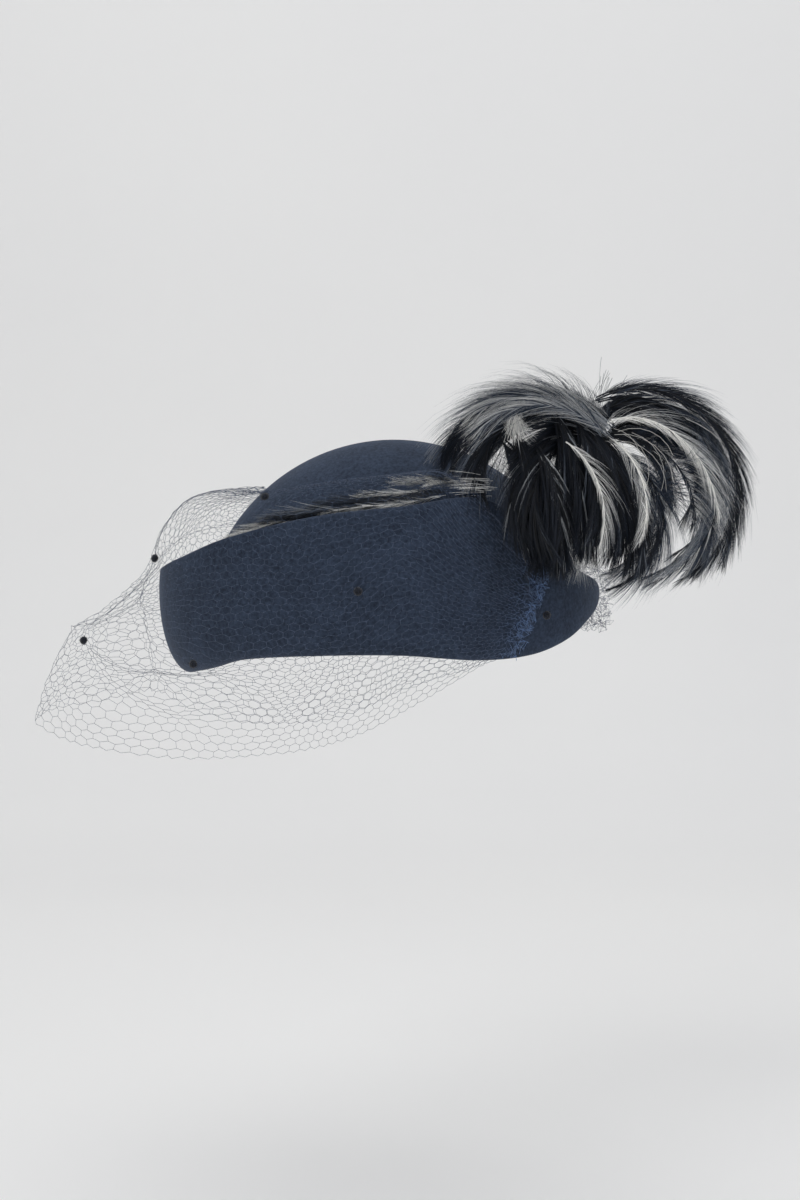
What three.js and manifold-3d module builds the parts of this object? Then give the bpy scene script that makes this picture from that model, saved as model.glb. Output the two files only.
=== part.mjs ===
// A small navy felt cocktail hat: a domed crown in a deep turned-up brim, a strip of feathers in the
// crease on the wearer's left, a plume of curled cock feathers behind it, and a dotted face veil.
// Millimetres, +Z up. The front of the hat looks along -Y and the wearer's left is +X.
// The origin is the middle of the head opening, at the head line.
import * as THREE from "three";
import { mergeVertices } from "three/addons/utils/BufferGeometryUtils.js";
import Module from "manifold-3d";

const wasm = await Module();
wasm.setup();

// Felt
const felt = { thickness: 2.4, sewingGap: 0.3 };
const crown = { halfWidth: 80, halfLength: 97, centreY: 1.5, centreZ: 10.5, rise: 99.5, aroundSteps: 40, upSteps: 9 };
const brim = { seatHeight: 7, foldOut: 3.7, aroundSteps: 56, curveSteps: 5 };

// The brim's section at angles from the front (0) to the back (180), the same on both sides:
// the height of its fold, how far its wall stands out from the head line, how much height
// it takes to reach there, the height of its top edge, and how far that edge leans back in.
const brimRows = [
  { angle: 0, fold: -6, out: 19.7, rise: 41, top: 45, lean: 0.5 },
  { angle: 26, fold: -3.5, out: 19, rise: 40, top: 50, lean: 0.8 },
  { angle: 46, fold: 2, out: 17.3, rise: 38, top: 59, lean: 1.2 },
  { angle: 72, fold: 4.4, out: 14.8, rise: 36, top: 68.5, lean: 2 },
  { angle: 92, fold: 4.6, out: 13.7, rise: 36, top: 72.4, lean: 2.4 },
  { angle: 113, fold: 2.3, out: 12.6, rise: 38, top: 76.4, lean: 2.4 },
  { angle: 130, fold: 4.6, out: 10.4, rise: 33, top: 61, lean: 1.6 },
  { angle: 145, fold: 11.6, out: 8, rise: 22, top: 46.5, lean: 1 },
  { angle: 160, fold: 21.4, out: 6.2, rise: 13, top: 41, lean: 0.8 },
  { angle: 180, fold: 28.5, out: 5.2, rise: 5.5, top: 37, lean: 0.6 },
];

// Feathers in the crease, from the front to the plume: where each starts and ends round the hat,
// its height over the brim's edge, its width, and its lift off the brim at the tip.
const band = { thickness: 1.1, backing: 1.6, gap: 0.4, firstStep: 9, lastStep: 17, bladeSteps: 5 };
const bandRows = [
  { name: "fore cream", root: 66, tip: 42, height: 1.5, width: 13, lift: 1 },
  { name: "fore brown", root: 74, tip: 52, height: 3, width: 14, lift: 3 },
  { name: "dark", root: 82, tip: 58, height: 1.5, width: 14, lift: 0 },
  { name: "navy", root: 88, tip: 66, height: 4, width: 13, lift: 2 },
  { name: "long grey", root: 104, tip: 72, height: 3, width: 13, lift: 0 },
  { name: "white", root: 106, tip: 82, height: 8, width: 12, lift: 2 },
  { name: "upper grey", root: 109, tip: 91, height: 9, width: 13, lift: 5 },
  { name: "striped", root: 110, tip: 98, height: 10, width: 12, lift: 3 },
];

// Plume: every quill leaves the knot in the crease, runs straight to its root, then curls.
// Lift is the angle at the root, and turn is how far it bends down over its length, sooner when
// the bias is under 1. Fore feathers curl to the front, aft ones to the back, and out is how far
// the tip stands further from the middle of the hat than the root.
const knot = { x: 56, y: 69, z: 58, radius: 4.6 };
const quill = { width: 2.2, vaneThickness: 1.2, stemSteps: 2, vaneSteps: 9 };
const plumeRows = [
  { name: "aft outer", x: 58, y: 97, z: 124, aft: 1, lift: 28, turn: 182, bias: 0.95, length: 146, out: 4, width: 25 },
  { name: "aft upper", x: 46, y: 98, z: 118, aft: 1, lift: 40, turn: 160, bias: 0.9, length: 104, out: -10, width: 26 },
  { name: "aft white", x: 66, y: 98, z: 109, aft: 1, lift: 80, turn: 165, bias: 0.42, length: 82, out: 9, width: 24 },
  { name: "aft dark", x: 50, y: 99, z: 104, aft: 1, lift: 62, turn: 175, bias: 0.7, length: 114, out: -4, width: 28 },
  { name: "aft inner", x: 60, y: 98, z: 104, aft: 1, lift: 25, turn: 150, bias: 0.8, length: 92, out: 6, width: 26 },
  { name: "aft low", x: 62, y: 96, z: 98, aft: 1, lift: 5, turn: 165, bias: 0.9, length: 90, out: 10, width: 22 },
  { name: "middle white", x: 80, y: 98, z: 105, aft: 1, lift: -30, turn: 85, bias: 0.9, length: 56, out: 16, width: 20 },
  { name: "middle black", x: 70, y: 96, z: 104, aft: 1, lift: -48, turn: 62, bias: 1, length: 64, out: 20, width: 24 },
  { name: "fore white", x: 92, y: 79, z: 101, aft: 1, lift: -35, turn: 75, bias: 0.9, length: 54, out: 14, width: 16 },
  { name: "low dark", x: 82, y: 83, z: 100, aft: 1, lift: -62, turn: 38, bias: 1, length: 58, out: 12, width: 24 },
  { name: "low black", x: 87, y: 67, z: 97, aft: 1, lift: -64, turn: 36, bias: 1, length: 56, out: 10, width: 26 },
  { name: "fore top", x: 64, y: 103, z: 110, aft: -1, lift: 46, turn: 118, bias: 1, length: 98, out: 6, width: 22 },
  { name: "fore far", x: 50, y: 100, z: 107, aft: -1, lift: 46, turn: 116, bias: 1, length: 86, out: -6, width: 24 },
  { name: "fore upper", x: 70, y: 97, z: 108, aft: -1, lift: 46, turn: 150, bias: 1, length: 92, out: 12, width: 24 },
  { name: "fore lower", x: 74, y: 99, z: 104, aft: -1, lift: 72, turn: 190, bias: 0.6, length: 84, out: 24, width: 26 },
  { name: "fore hanging", x: 76, y: 92, z: 102, aft: -1, lift: 40, turn: 155, bias: 0.6, length: 74, out: 24, width: 24 },
];

// Veil: half sections of the net, from its edge on the crown to its hem. Out is measured from
// the head line and z is a height. Between them the net is blended round the hat.
const veil = { thickness: 1.2, clearance: 1.5, reach: 131, columns: 20, rows: 6, strip: 0.17, frontPower: 3 };
// In front it narrows to a prow, and on the wearer's right a loose tail runs on past the gather.
const prow = { narrowing: 0.62, from: 20, to: 55 };
const tail = { reach: 158, out: 8.5 };
const veilFront = [
  { name: "ridge", out: 4.5 },
  { name: "shoulder", out: 18.5 },
  { name: "brim", out: 26, z: 44 },
  { name: "flare", out: 44.5, z: 27 },
  { name: "knee", out: 62.5, z: 14.5 },
  { name: "low", out: 72.5, z: -4 },
  { name: "hem", out: 82.5 },
];
const veilSide = [
  { name: "ridge", out: -1 },
  { name: "shoulder", out: 14.5 },
  { name: "brim", out: 17.5, z: 60 },
  { name: "flare", out: 17.5, z: 42 },
  { name: "knee", out: 17, z: 24 },
  { name: "low", out: 14, z: 4 },
  { name: "hem", out: 12 },
];
const veilGather = [
  { name: "ridge", out: 14, z: 42 },
  { name: "shoulder", out: 14.5, z: 37 },
  { name: "brim", out: 15, z: 32 },
  { name: "flare", out: 15, z: 27 },
  { name: "knee", out: 14.5, z: 22 },
  { name: "low", out: 13.5, z: 16 },
  { name: "hem", out: 12.5 },
];
const gatherEdge = { out: 13.5, z: 47 };
// Heights of the net's top round the hat, the same on both sides: its edge on the crown, the
// ridge just below that, and the shoulder where it turns down over the brim.
const topRows = [
  { angle: 0, edge: 85.5, ridge: 81, shoulder: 65 },
  { angle: 32, edge: 82, ridge: 78.5, shoulder: 66 },
  { angle: 48, edge: 81.5, ridge: 79, shoulder: 69 },
  { angle: 66, edge: 84, ridge: 82.5, shoulder: 75 },
  { angle: 90, edge: 88, ridge: 86.5, shoulder: 79 },
  { angle: 112, edge: 89, ridge: 88, shoulder: 82.5 },
];
// The hem's height round the hat: negative angles are the wearer's right, where it hangs lower.
const hemRows = [
  { angle: -158, z: 18.5 },
  { angle: -131, z: 9 },
  { angle: -116, z: -6 },
  { angle: -100, z: -24 },
  { angle: -80, z: -44 },
  { angle: -60, z: -54 },
  { angle: -40, z: -55 },
  { angle: -20, z: -46 },
  { angle: 0, z: -31 },
  { angle: 30, z: -20 },
  { angle: 60, z: -26 },
  { angle: 78, z: -22.5 },
  { angle: 92, z: -11 },
  { angle: 104, z: -3.5 },
  { angle: 131, z: 7 },
];
// Chenille dots: where each is round the hat, and how far down the net.
const dot = { radius: 2.1, gap: 0.3 };
const dotRows = [
  { angle: 16, down: 0.782 },
  { angle: 19, down: 0.445 },
  { angle: 57, down: 0.265 },
  { angle: 82, down: 0.622 },
  { angle: 45, down: 0.832 },
  { angle: 129, down: 0.597 },
  { angle: -40, down: 0.6 },
  { angle: -66, down: 0.28 },
  { angle: -60, down: 0.65 },
  { angle: -78, down: 0.55 },
  { angle: -102, down: 0.3 },
  { angle: -108, down: 0.8 },
];

const colours = {
  navyFelt: 0x2e3745,
  feather: 0x24272d,
  paleFeather: 0x8b8a86,
  net: 0x27303f,
  dot: 0x17191d,
};

const vector = (x, y, z) => new THREE.Vector3(x, y, z);
const radians = THREE.MathUtils.degToRad;

// One column of a table at an angle, on a smooth curve through its rows.
function columnAt(rows, column, angle) {
  const last = rows.length - 1;
  if (angle <= rows[0].angle) return rows[0][column];
  if (angle >= rows[last].angle) return rows[last][column];
  const i = rows.findIndex((row) => row.angle > angle) - 1;
  const slope = (k) => {
    const before = rows[Math.max(k - 1, 0)];
    const after = rows[Math.min(k + 1, last)];
    return k === 0 || k === last ? 0 : (after[column] - before[column]) / (after.angle - before.angle);
  };
  const span = rows[i + 1].angle - rows[i].angle;
  const t = (angle - rows[i].angle) / span;
  return (
    rows[i][column] * (1 + 2 * t) * (1 - t) ** 2 +
    slope(i) * span * t * (1 - t) ** 2 +
    rows[i + 1][column] * t * t * (3 - 2 * t) +
    slope(i + 1) * span * t * t * (t - 1)
  );
}

// A point at an angle round the head, a distance out from the head line, and a height.
function around(angle, out, z) {
  const a = radians(angle);
  const normal = new THREE.Vector2(Math.sin(a) / crown.halfWidth, -Math.cos(a) / crown.halfLength);
  normal.normalize();
  return vector(
    crown.halfWidth * Math.sin(a) + out * normal.x,
    crown.centreY - crown.halfLength * Math.cos(a) + out * normal.y,
    z,
  );
}

// A point on the crown: the dome is half an ellipsoid, and below its centre the wall is upright.
function onCrown(angle, z, out = 0) {
  const sine = (z - crown.centreZ) / crown.rise;
  const shrink = Math.sqrt(1 - Math.max(sine, 0) ** 2);
  const a = radians(angle);
  const point = vector(
    crown.halfWidth * shrink * Math.sin(a),
    crown.centreY - crown.halfLength * shrink * Math.cos(a),
    z,
  );
  const normal = vector(
    point.x / crown.halfWidth ** 2,
    (point.y - crown.centreY) / crown.halfLength ** 2,
    Math.max(z - crown.centreZ, 0) / crown.rise ** 2,
  ).normalize();
  return point.addScaledVector(normal, out);
}

// A closed mesh geometry from points and triangles, with its faces turned outwards.
function closedGeometry(points, triangles) {
  let volume = 0;
  for (const [a, b, c] of triangles) {
    volume += points[a].dot(points[b].clone().cross(points[c]));
  }
  const geometry = new THREE.BufferGeometry().setFromPoints(points);
  geometry.setIndex(triangles.flatMap(([a, b, c]) => (volume < 0 ? [a, c, b] : [a, b, c])));
  return geometry;
}

// A skin over closed rings of equal size: its ends are capped, or it closes on itself.
function loft(rings, closes = false) {
  const size = rings[0].length;
  const points = rings.flat();
  const triangles = [];
  const pairs = closes ? rings.length : rings.length - 1;
  for (let i = 0; i < pairs; i++) {
    const here = i * size;
    const next = ((i + 1) % rings.length) * size;
    for (let j = 0; j < size; j++) {
      const k = (j + 1) % size;
      triangles.push([here + j, here + k, next + k], [here + j, next + k, next + j]);
    }
  }
  if (!closes) {
    for (const end of [0, rings.length - 1]) {
      const middle = points.length;
      points.push(rings[end].reduce((sum, p) => sum.add(p), vector(0, 0, 0)).divideScalar(size));
      for (let j = 0; j < size; j++) {
        const a = end * size + j;
        const b = end * size + ((j + 1) % size);
        triangles.push(end ? [a, b, middle] : [b, a, middle]);
      }
    }
  }
  return closedGeometry(points, triangles);
}

function toSolid(geometry) {
  const bare = geometry.clone();
  bare.deleteAttribute("normal");
  bare.deleteAttribute("uv");
  const merged = mergeVertices(bare, 1e-4);
  return new wasm.Manifold(
    new wasm.Mesh({
      numProp: 3,
      vertProperties: merged.attributes.position.array,
      triVerts: new Uint32Array(merged.index.array),
    }),
  );
}

function fuse(geometries) {
  const mesh = geometries
    .map(toSolid)
    .reduce((sum, next) => sum.add(next))
    .getMesh();
  const geometry = new THREE.BufferGeometry();
  geometry.setAttribute("position", new THREE.BufferAttribute(mesh.vertProperties, 3));
  geometry.setIndex(new THREE.BufferAttribute(mesh.triVerts, 1));
  return geometry;
}

function piece(name, geometry, colour, roughness) {
  geometry.computeVertexNormals();
  const mesh = new THREE.Mesh(geometry, new THREE.MeshStandardMaterial({ color: colour, roughness, metalness: 0 }));
  mesh.name = name;
  return mesh;
}

// Crown: one felt shell, open below, whose edge follows the fold of the brim.
function makeCrown() {
  const ring = (step, inset) => {
    const points = [];
    for (let i = 0; i < crown.aroundSteps; i++) {
      const angle = (360 * i) / crown.aroundSteps;
      const foldAngle = angle > 180 ? 360 - angle : angle;
      const edge = columnAt(brimRows, "fold", foldAngle) + 0.6;
      const from = Math.asin((edge - crown.centreZ) / crown.rise);
      const up = from + (Math.PI / 2 - from) * step;
      points.push(onCrown(angle, crown.centreZ + crown.rise * Math.sin(up), inset));
    }
    return points;
  };
  const last = 1 - 0.45 / crown.upSteps;
  const outer = [];
  const inner = [];
  for (let j = 0; j < crown.upSteps; j++) {
    const step = (last * j) / (crown.upSteps - 1);
    outer.push(ring(step, 0));
    inner.push(ring(step, -felt.thickness));
  }
  return loft([...outer.reverse(), ...inner]);
}

// The outer face of the brim's section: a short seat on the crown, the fold, and the wall.
function brimFace(angle) {
  const at = (column) => columnAt(brimRows, column, angle);
  const fold = at("fold");
  const seat = felt.sewingGap;
  const face = [
    [seat, fold + brim.seatHeight],
    [seat, fold + 2.4],
    [seat + 1.1, fold + 0.7],
  ];
  for (let k = 0; k <= brim.curveSteps; k++) {
    const q = (Math.PI / 2) * (k / brim.curveSteps);
    face.push([
      brim.foldOut + (at("out") - brim.foldOut) * Math.sin(q),
      fold + at("rise") * (1 - Math.cos(q)),
    ]);
  }
  face.push([at("out") - at("lean"), at("top")]);
  return face.map(([out, z]) => new THREE.Vector2(out, z));
}

// The other face of a wall: each point moved by the thickness, square to the line there.
function offsetFace(face, thickness) {
  return face.map((point, i) => {
    const before = point.clone().sub(face[Math.max(i - 1, 0)]).normalize();
    const after = face[Math.min(i + 1, face.length - 1)].clone().sub(point).normalize();
    const along = before.add(after).normalize();
    return new THREE.Vector2(point.x - along.y * thickness, point.y + along.x * thickness);
  });
}

function makeBrim() {
  const rings = [];
  for (let i = 0; i < brim.aroundSteps; i++) {
    const angle = (360 * i) / brim.aroundSteps;
    const face = brimFace(angle > 180 ? 360 - angle : angle);
    const section = [...face, ...offsetFace(face, felt.thickness).reverse()];
    rings.push(section.map((p) => around(angle, p.x, p.y)));
  }
  return loft(rings, true);
}

// A flat blade with a pointed oval outline along a path: four-sided, thick in the middle.
function blade(path, sideways, widthAt, thickness) {
  const rings = path.map((point, i) => {
    const across = sideways(i).multiplyScalar(widthAt(i / (path.length - 1)) / 2);
    const along = path[Math.min(i + 1, path.length - 1)].clone().sub(path[Math.max(i - 1, 0)]);
    const up = along.cross(across).normalize().multiplyScalar(thickness / 2);
    return [
      point.clone().add(across),
      point.clone().add(up),
      point.clone().sub(across),
      point.clone().sub(up),
    ];
  });
  return loft(rings);
}

// The crease strip: a backing that leans from the brim's edge to the crown, with feathers on it.
function makeFeatherBand() {
  const edge = (angle) => columnAt(brimRows, "top", angle);
  const wallOut = (angle) => columnAt(brimRows, "out", angle) - columnAt(brimRows, "lean", angle);
  const shelf = (angle, height) => {
    const low = around(angle, wallOut(angle) - felt.thickness - band.gap, edge(angle) - 4);
    const high = onCrown(angle, edge(angle) + 9, 2.2);
    return low.lerp(high, height);
  };
  const pieces = [];
  const backing = [];
  for (let i = band.firstStep; i <= band.lastStep; i++) {
    const angle = (360 * i) / brim.aroundSteps;
    const low = shelf(angle, 0);
    const high = shelf(angle, 0.7);
    const up = vector(0, 0, band.backing);
    backing.push([low, low.clone().add(up), high.clone().add(up), high]);
  }
  pieces.push(loft(backing));
  for (const row of bandRows) {
    const path = [];
    for (let i = 0; i <= band.bladeSteps; i++) {
      const t = i / band.bladeSteps;
      const angle = THREE.MathUtils.lerp(row.root, row.tip, t);
      const point = shelf(angle, 0.24 + row.height * 0.04);
      point.z += band.backing + row.lift * t;
      path.push(point);
    }
    const sideways = (i) => {
      const angle = THREE.MathUtils.lerp(row.root, row.tip, i / band.bladeSteps);
      return shelf(angle, 0).sub(shelf(angle, 1)).normalize();
    };
    const width = (t) => 2 + (row.width - 2) * Math.sin(Math.PI * Math.min(0.12 + 0.86 * t, 1)) ** 0.7;
    pieces.push(blade(path, sideways, width, band.thickness));
  }
  return fuse(pieces);
}

// One plume feather: a thin quill from the knot to the root, then the vane along its curl.
function plumeFeather(row) {
  const start = vector(knot.x, knot.y, knot.z);
  const root = vector(row.x, row.y, row.z);
  const path = [];
  for (let i = 0; i < quill.stemSteps; i++) {
    path.push(start.clone().lerp(root, i / quill.stemSteps));
  }
  const point = root.clone();
  path.push(point.clone());
  const step = row.length / quill.vaneSteps;
  for (let i = 0; i < quill.vaneSteps; i++) {
    const t = (i + 0.5) / quill.vaneSteps;
    const slope = radians(row.lift - row.turn * t ** row.bias);
    point.x += row.out / quill.vaneSteps;
    point.y += row.aft * step * Math.cos(slope);
    point.z += step * Math.sin(slope);
    path.push(point.clone());
  }
  const stem = quill.stemSteps / (path.length - 1);
  const widthAt = (t) => {
    if (t <= stem) return quill.width;
    const s = (t - stem) / (1 - stem);
    return quill.width + (row.width - quill.width) * Math.sin(Math.PI * Math.min(0.1 + 0.88 * s, 1)) ** 0.6;
  };
  const sideways = (i) => {
    const along = path[Math.min(i + 1, path.length - 1)].clone().sub(path[Math.max(i - 1, 0)]).normalize();
    const away = along.clone().cross(vector(1, 0, 0)).normalize();
    return away.addScaledVector(vector(1, 0, 0), 0.55).normalize();
  };
  return blade(path, sideways, widthAt, quill.vaneThickness);
}

function makePlume() {
  const binding = new THREE.IcosahedronGeometry(knot.radius, 1);
  binding.translate(knot.x, knot.y, knot.z);
  return fuse([binding, ...plumeRows.map(plumeFeather)]);
}

// A point of the net: down is 0 at its edge on the crown and 1 at its hem.
function veilCurve(angle) {
  const { lerp, smoothstep } = THREE.MathUtils;
  const side = Math.abs(angle);
  const front = Math.max(Math.cos(radians(side)), 0) ** veil.frontPower;
  const outward = smoothstep(side, 90, 110);
  const downward = smoothstep(side, 100, veil.reach);
  const loose = tail.out * smoothstep(-angle, veil.reach, tail.reach);
  const narrowing = prow.narrowing * Math.max(Math.cos(radians(angle)), 0) ** 2;
  const top = (column) => columnAt(topRows, column, side);
  const onDome = onCrown(angle, top("edge"), veil.clearance);
  const onBrim = around(angle, gatherEdge.out + loose, gatherEdge.z);
  const points = [vector(
    lerp(onDome.x, onBrim.x, outward),
    lerp(onDome.y, onBrim.y, outward),
    lerp(onDome.z, onBrim.z, downward),
  )];
  veilSide.forEach((row, i) => {
    const out = lerp(lerp(row.out, veilFront[i].out, front), veilGather[i].out, outward) + loose;
    const free = i < 2 ? top(row.name) : lerp(row.z, veilFront[i].z, front);
    const z = row.name === "hem" ? columnAt(hemRows, "z", angle) : lerp(free, veilGather[i].z, downward);
    const point = around(angle, out, z);
    point.x *= 1 - narrowing * smoothstep(out, prow.from, prow.to);
    points.push(point);
  });
  return new THREE.CatmullRomCurve3(points, false, "centripetal");
}

function onVeil(angle, down) {
  return veilCurve(angle).getPointAt(THREE.MathUtils.clamp(down, 0, 1));
}

function veilNormal(angle, down) {
  const a = THREE.MathUtils.clamp(angle, -tail.reach + 1, veil.reach - 1);
  const d = THREE.MathUtils.clamp(down, 0.02, 0.98);
  const round = onVeil(a + 1, d).sub(onVeil(a - 1, d));
  const fall = onVeil(a, d + 0.02).sub(onVeil(a, d - 0.02));
  return fall.cross(round).normalize();
}

// The net as a coarse honeycomb: six-sided cells whose strips are cut through between them.
// The knot nearest each dot is drawn under it.
function makeVeil() {
  const wide = 1 / veil.columns;
  const tall = 1 / (1.5 * veil.rows - 0.5);
  const knots = new Map();
  const knotKey = (u, v) => Math.round(u / (wide / 2)) + ":" + Math.round(v / (tall / 2));
  const place = (u, v) => ({
    angle: THREE.MathUtils.lerp(-tail.reach, veil.reach, u),
    down: THREE.MathUtils.clamp(v / (tall * (1.5 * veil.rows - 0.5)), 0, 1),
  });
  const cells = [];
  for (let row = 0; row < veil.rows; row++) {
    const odd = row % 2;
    for (let column = 0; column < veil.columns - odd; column++) {
      const u = (column + 0.5 + odd / 2) * wide;
      const v = (0.5 + 1.5 * row) * tall;
      const corners = [
        [u, v - tall],
        [u + wide / 2, v - tall / 2],
        [u + wide / 2, v + tall / 2],
        [u, v + tall],
        [u - wide / 2, v + tall / 2],
        [u - wide / 2, v - tall / 2],
      ].map(([cu, cv]) => {
        const key = knotKey(cu, cv);
        if (!knots.has(key)) knots.set(key, place(cu, cv));
        return key;
      });
      cells.push(corners);
    }
  }
  for (const row of dotRows) {
    const far = (k) => Math.hypot((k.angle - row.angle) * 1.8, (k.down - row.down) * 160);
    const nearest = [...knots.values()].reduce((best, k) => (far(k) < far(best) ? k : best));
    nearest.angle = row.angle;
    nearest.down = row.down;
  }
  return netSolid(cells, knots);
}

function netSolid(cells, knots) {
  const points = [];
  const triangles = [];
  const layer = (angle, down) => {
    const middle = onVeil(angle, down);
    const normal = veilNormal(angle, down).multiplyScalar(veil.thickness / 2);
    points.push(middle.clone().add(normal), middle.clone().sub(normal));
    return points.length - 2;
  };
  const corner = new Map([...knots].map(([key, k]) => [key, layer(k.angle, k.down)]));
  const sides = new Map();
  const quad = (a, b, c, d) => triangles.push([a, b, c], [a, c, d]);
  for (const cell of cells) {
    const size = cell.length;
    const spots = cell.map((key) => knots.get(key));
    const middle = {
      angle: spots.reduce((sum, k) => sum + k.angle, 0) / size,
      down: spots.reduce((sum, k) => sum + k.down, 0) / size,
    };
    const { lerp } = THREE.MathUtils;
    const hole = spots.map((k) =>
      layer(lerp(k.angle, middle.angle, veil.strip), lerp(k.down, middle.down, veil.strip)),
    );
    for (let i = 0; i < size; i++) {
      const j = (i + 1) % size;
      const a = corner.get(cell[i]);
      const b = corner.get(cell[j]);
      quad(a, b, hole[j], hole[i]);
      quad(hole[i] + 1, hole[j] + 1, b + 1, a + 1);
      quad(hole[i], hole[j], hole[j] + 1, hole[i] + 1);
      const opposite = cell[j] + ">" + cell[i];
      if (sides.has(opposite)) sides.delete(opposite);
      else sides.set(cell[i] + ">" + cell[j], [a, b]);
    }
  }
  for (const [a, b] of sides.values()) quad(b, a, a + 1, b + 1);
  return closedGeometry(points, triangles);
}

function makeDot(row) {
  const geometry = new THREE.OctahedronGeometry(dot.radius, 1);
  const off = veil.thickness / 2 + dot.gap + dot.radius;
  const centre = onVeil(row.angle, row.down).addScaledVector(veilNormal(row.angle, row.down), off);
  geometry.translate(centre.x, centre.y, centre.z);
  return geometry;
}

const hat = new THREE.Group();
hat.add(piece("crown", makeCrown(), colours.navyFelt, 0.9));
hat.add(piece("brim", makeBrim(), colours.navyFelt, 0.9));
hat.add(piece("feather_band", makeFeatherBand(), colours.paleFeather, 0.7));
hat.add(piece("plume", makePlume(), colours.feather, 0.6));
hat.add(piece("veil", makeVeil(), colours.net, 0.8));
dotRows.forEach((row, i) => {
  const name = "veil_dot_" + String(i + 1).padStart(2, "0");
  hat.add(piece(name, makeDot(row), colours.dot, 0.95));
});

export default hat;
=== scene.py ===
# A small navy felt cocktail hat: domed crown, deep turned-up brim, small feathers in the crease,
# a plume of curled cock feathers and a dotted net veil.
# Metres, +Z up. The front of the hat looks along -Y and the wearer's left is +X.
import math

import bmesh
import bpy
import numpy as np
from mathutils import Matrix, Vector


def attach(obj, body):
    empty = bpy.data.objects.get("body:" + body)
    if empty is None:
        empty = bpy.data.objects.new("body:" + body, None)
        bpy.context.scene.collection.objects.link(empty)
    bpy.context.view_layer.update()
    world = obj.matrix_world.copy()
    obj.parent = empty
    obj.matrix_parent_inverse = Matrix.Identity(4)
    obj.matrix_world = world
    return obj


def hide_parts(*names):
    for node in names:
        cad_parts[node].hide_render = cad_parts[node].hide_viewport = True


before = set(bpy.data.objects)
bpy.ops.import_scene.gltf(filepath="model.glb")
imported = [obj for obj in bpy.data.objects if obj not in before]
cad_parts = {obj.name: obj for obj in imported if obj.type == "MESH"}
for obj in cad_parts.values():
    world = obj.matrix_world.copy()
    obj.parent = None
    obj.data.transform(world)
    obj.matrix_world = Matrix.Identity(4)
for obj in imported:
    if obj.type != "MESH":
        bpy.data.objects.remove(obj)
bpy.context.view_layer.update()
mm = 0.001  # the tables below are in millimetres
weld = 0.02  # corners nearer than this are one


def hexToLinear(colour):
    channels = [int(colour[i:i + 2], 16) / 255 for i in (1, 3, 5)]
    linear = [c / 12.92 if c <= 0.04045 else ((c + 0.055) / 1.055) ** 2.4 for c in channels]
    return (*linear, 1.0)


def addNode(tree, kind, settings=None, links=None):
    # A setting is the node's own property or one of its sockets; a link feeds a socket.
    node = tree.nodes.new(kind)
    for name, value in (settings or {}).items():
        if isinstance(name, str) and hasattr(node, name):
            setattr(node, name, value)
        else:
            node.inputs[name].default_value = value
    for name, source in (links or {}).items():
        tree.links.new(source, node.inputs[name])
    return node


def newMaterial(name):
    material = bpy.data.materials.new(name)
    material.use_nodes = True
    tree = material.node_tree
    tree.nodes.clear()
    return material, tree


def addObject(name, data):
    thing = bpy.data.objects.new(name, data)
    bpy.context.scene.collection.objects.link(thing)
    return thing


def meshOf(bm, name):
    mesh = bpy.data.meshes.new(name)
    bm.to_mesh(mesh)
    bm.free()
    return mesh


def scaleFor(size):
    # Scale of a pattern whose grains are this many millimetres
    return 1 / (size * mm)


def fillRamp(node, stops):
    ramp = node.color_ramp
    while len(ramp.elements) < len(stops):
        ramp.elements.new(0.5)
    for element, (position, colour) in zip(ramp.elements, stops):
        element.position = position
        element.color = hexToLinear(colour)


def rowsOf(columns, *rows):
    # A table's rows under its column names; a short row leaves the last columns out
    return [dict(zip(columns.split(), row)) for row in rows]


def smoothStep(value, low, high):
    x = np.clip((value - low) / (high - low), 0, 1)
    return x * x * (3 - 2 * x)


def lerp(a, b, t):
    return a + (b - a) * t


def unit(vectors):
    return vectors / np.maximum(np.linalg.norm(vectors, axis=-1, keepdims=True), 1e-9)


# Camera: level with the brim, square to the wearer's left side
camera = {"place": (900, 4.5, 30), "lens": 54, "sensor": 36, "nearest": 10, "farthest": 20000}


def makeCamera():
    data = bpy.data.cameras.new("photo_camera")
    data.lens = camera["lens"]
    data.sensor_width = camera["sensor"]
    data.clip_start = camera["nearest"] * mm
    data.clip_end = camera["farthest"] * mm
    cam = addObject("photo_camera", data)
    cam.location = Vector(camera["place"]) * mm
    cam.rotation_euler = (math.radians(90), 0, math.radians(90))  # looks along -X
    bpy.context.scene.camera = cam


makeCamera()
print("camera made")


# The hat's own form, the same sections as its solids
crown = {
    "halfWidth": 80, "halfLength": 97, "centreY": 1.5, "centreZ": 10.5, "rise": 99.5, "thickness": 2.4,
    "edgeUp": 0.6, "aroundSteps": 120, "upSteps": 26, "mapSize": (0.55, 0.16),
}
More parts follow.
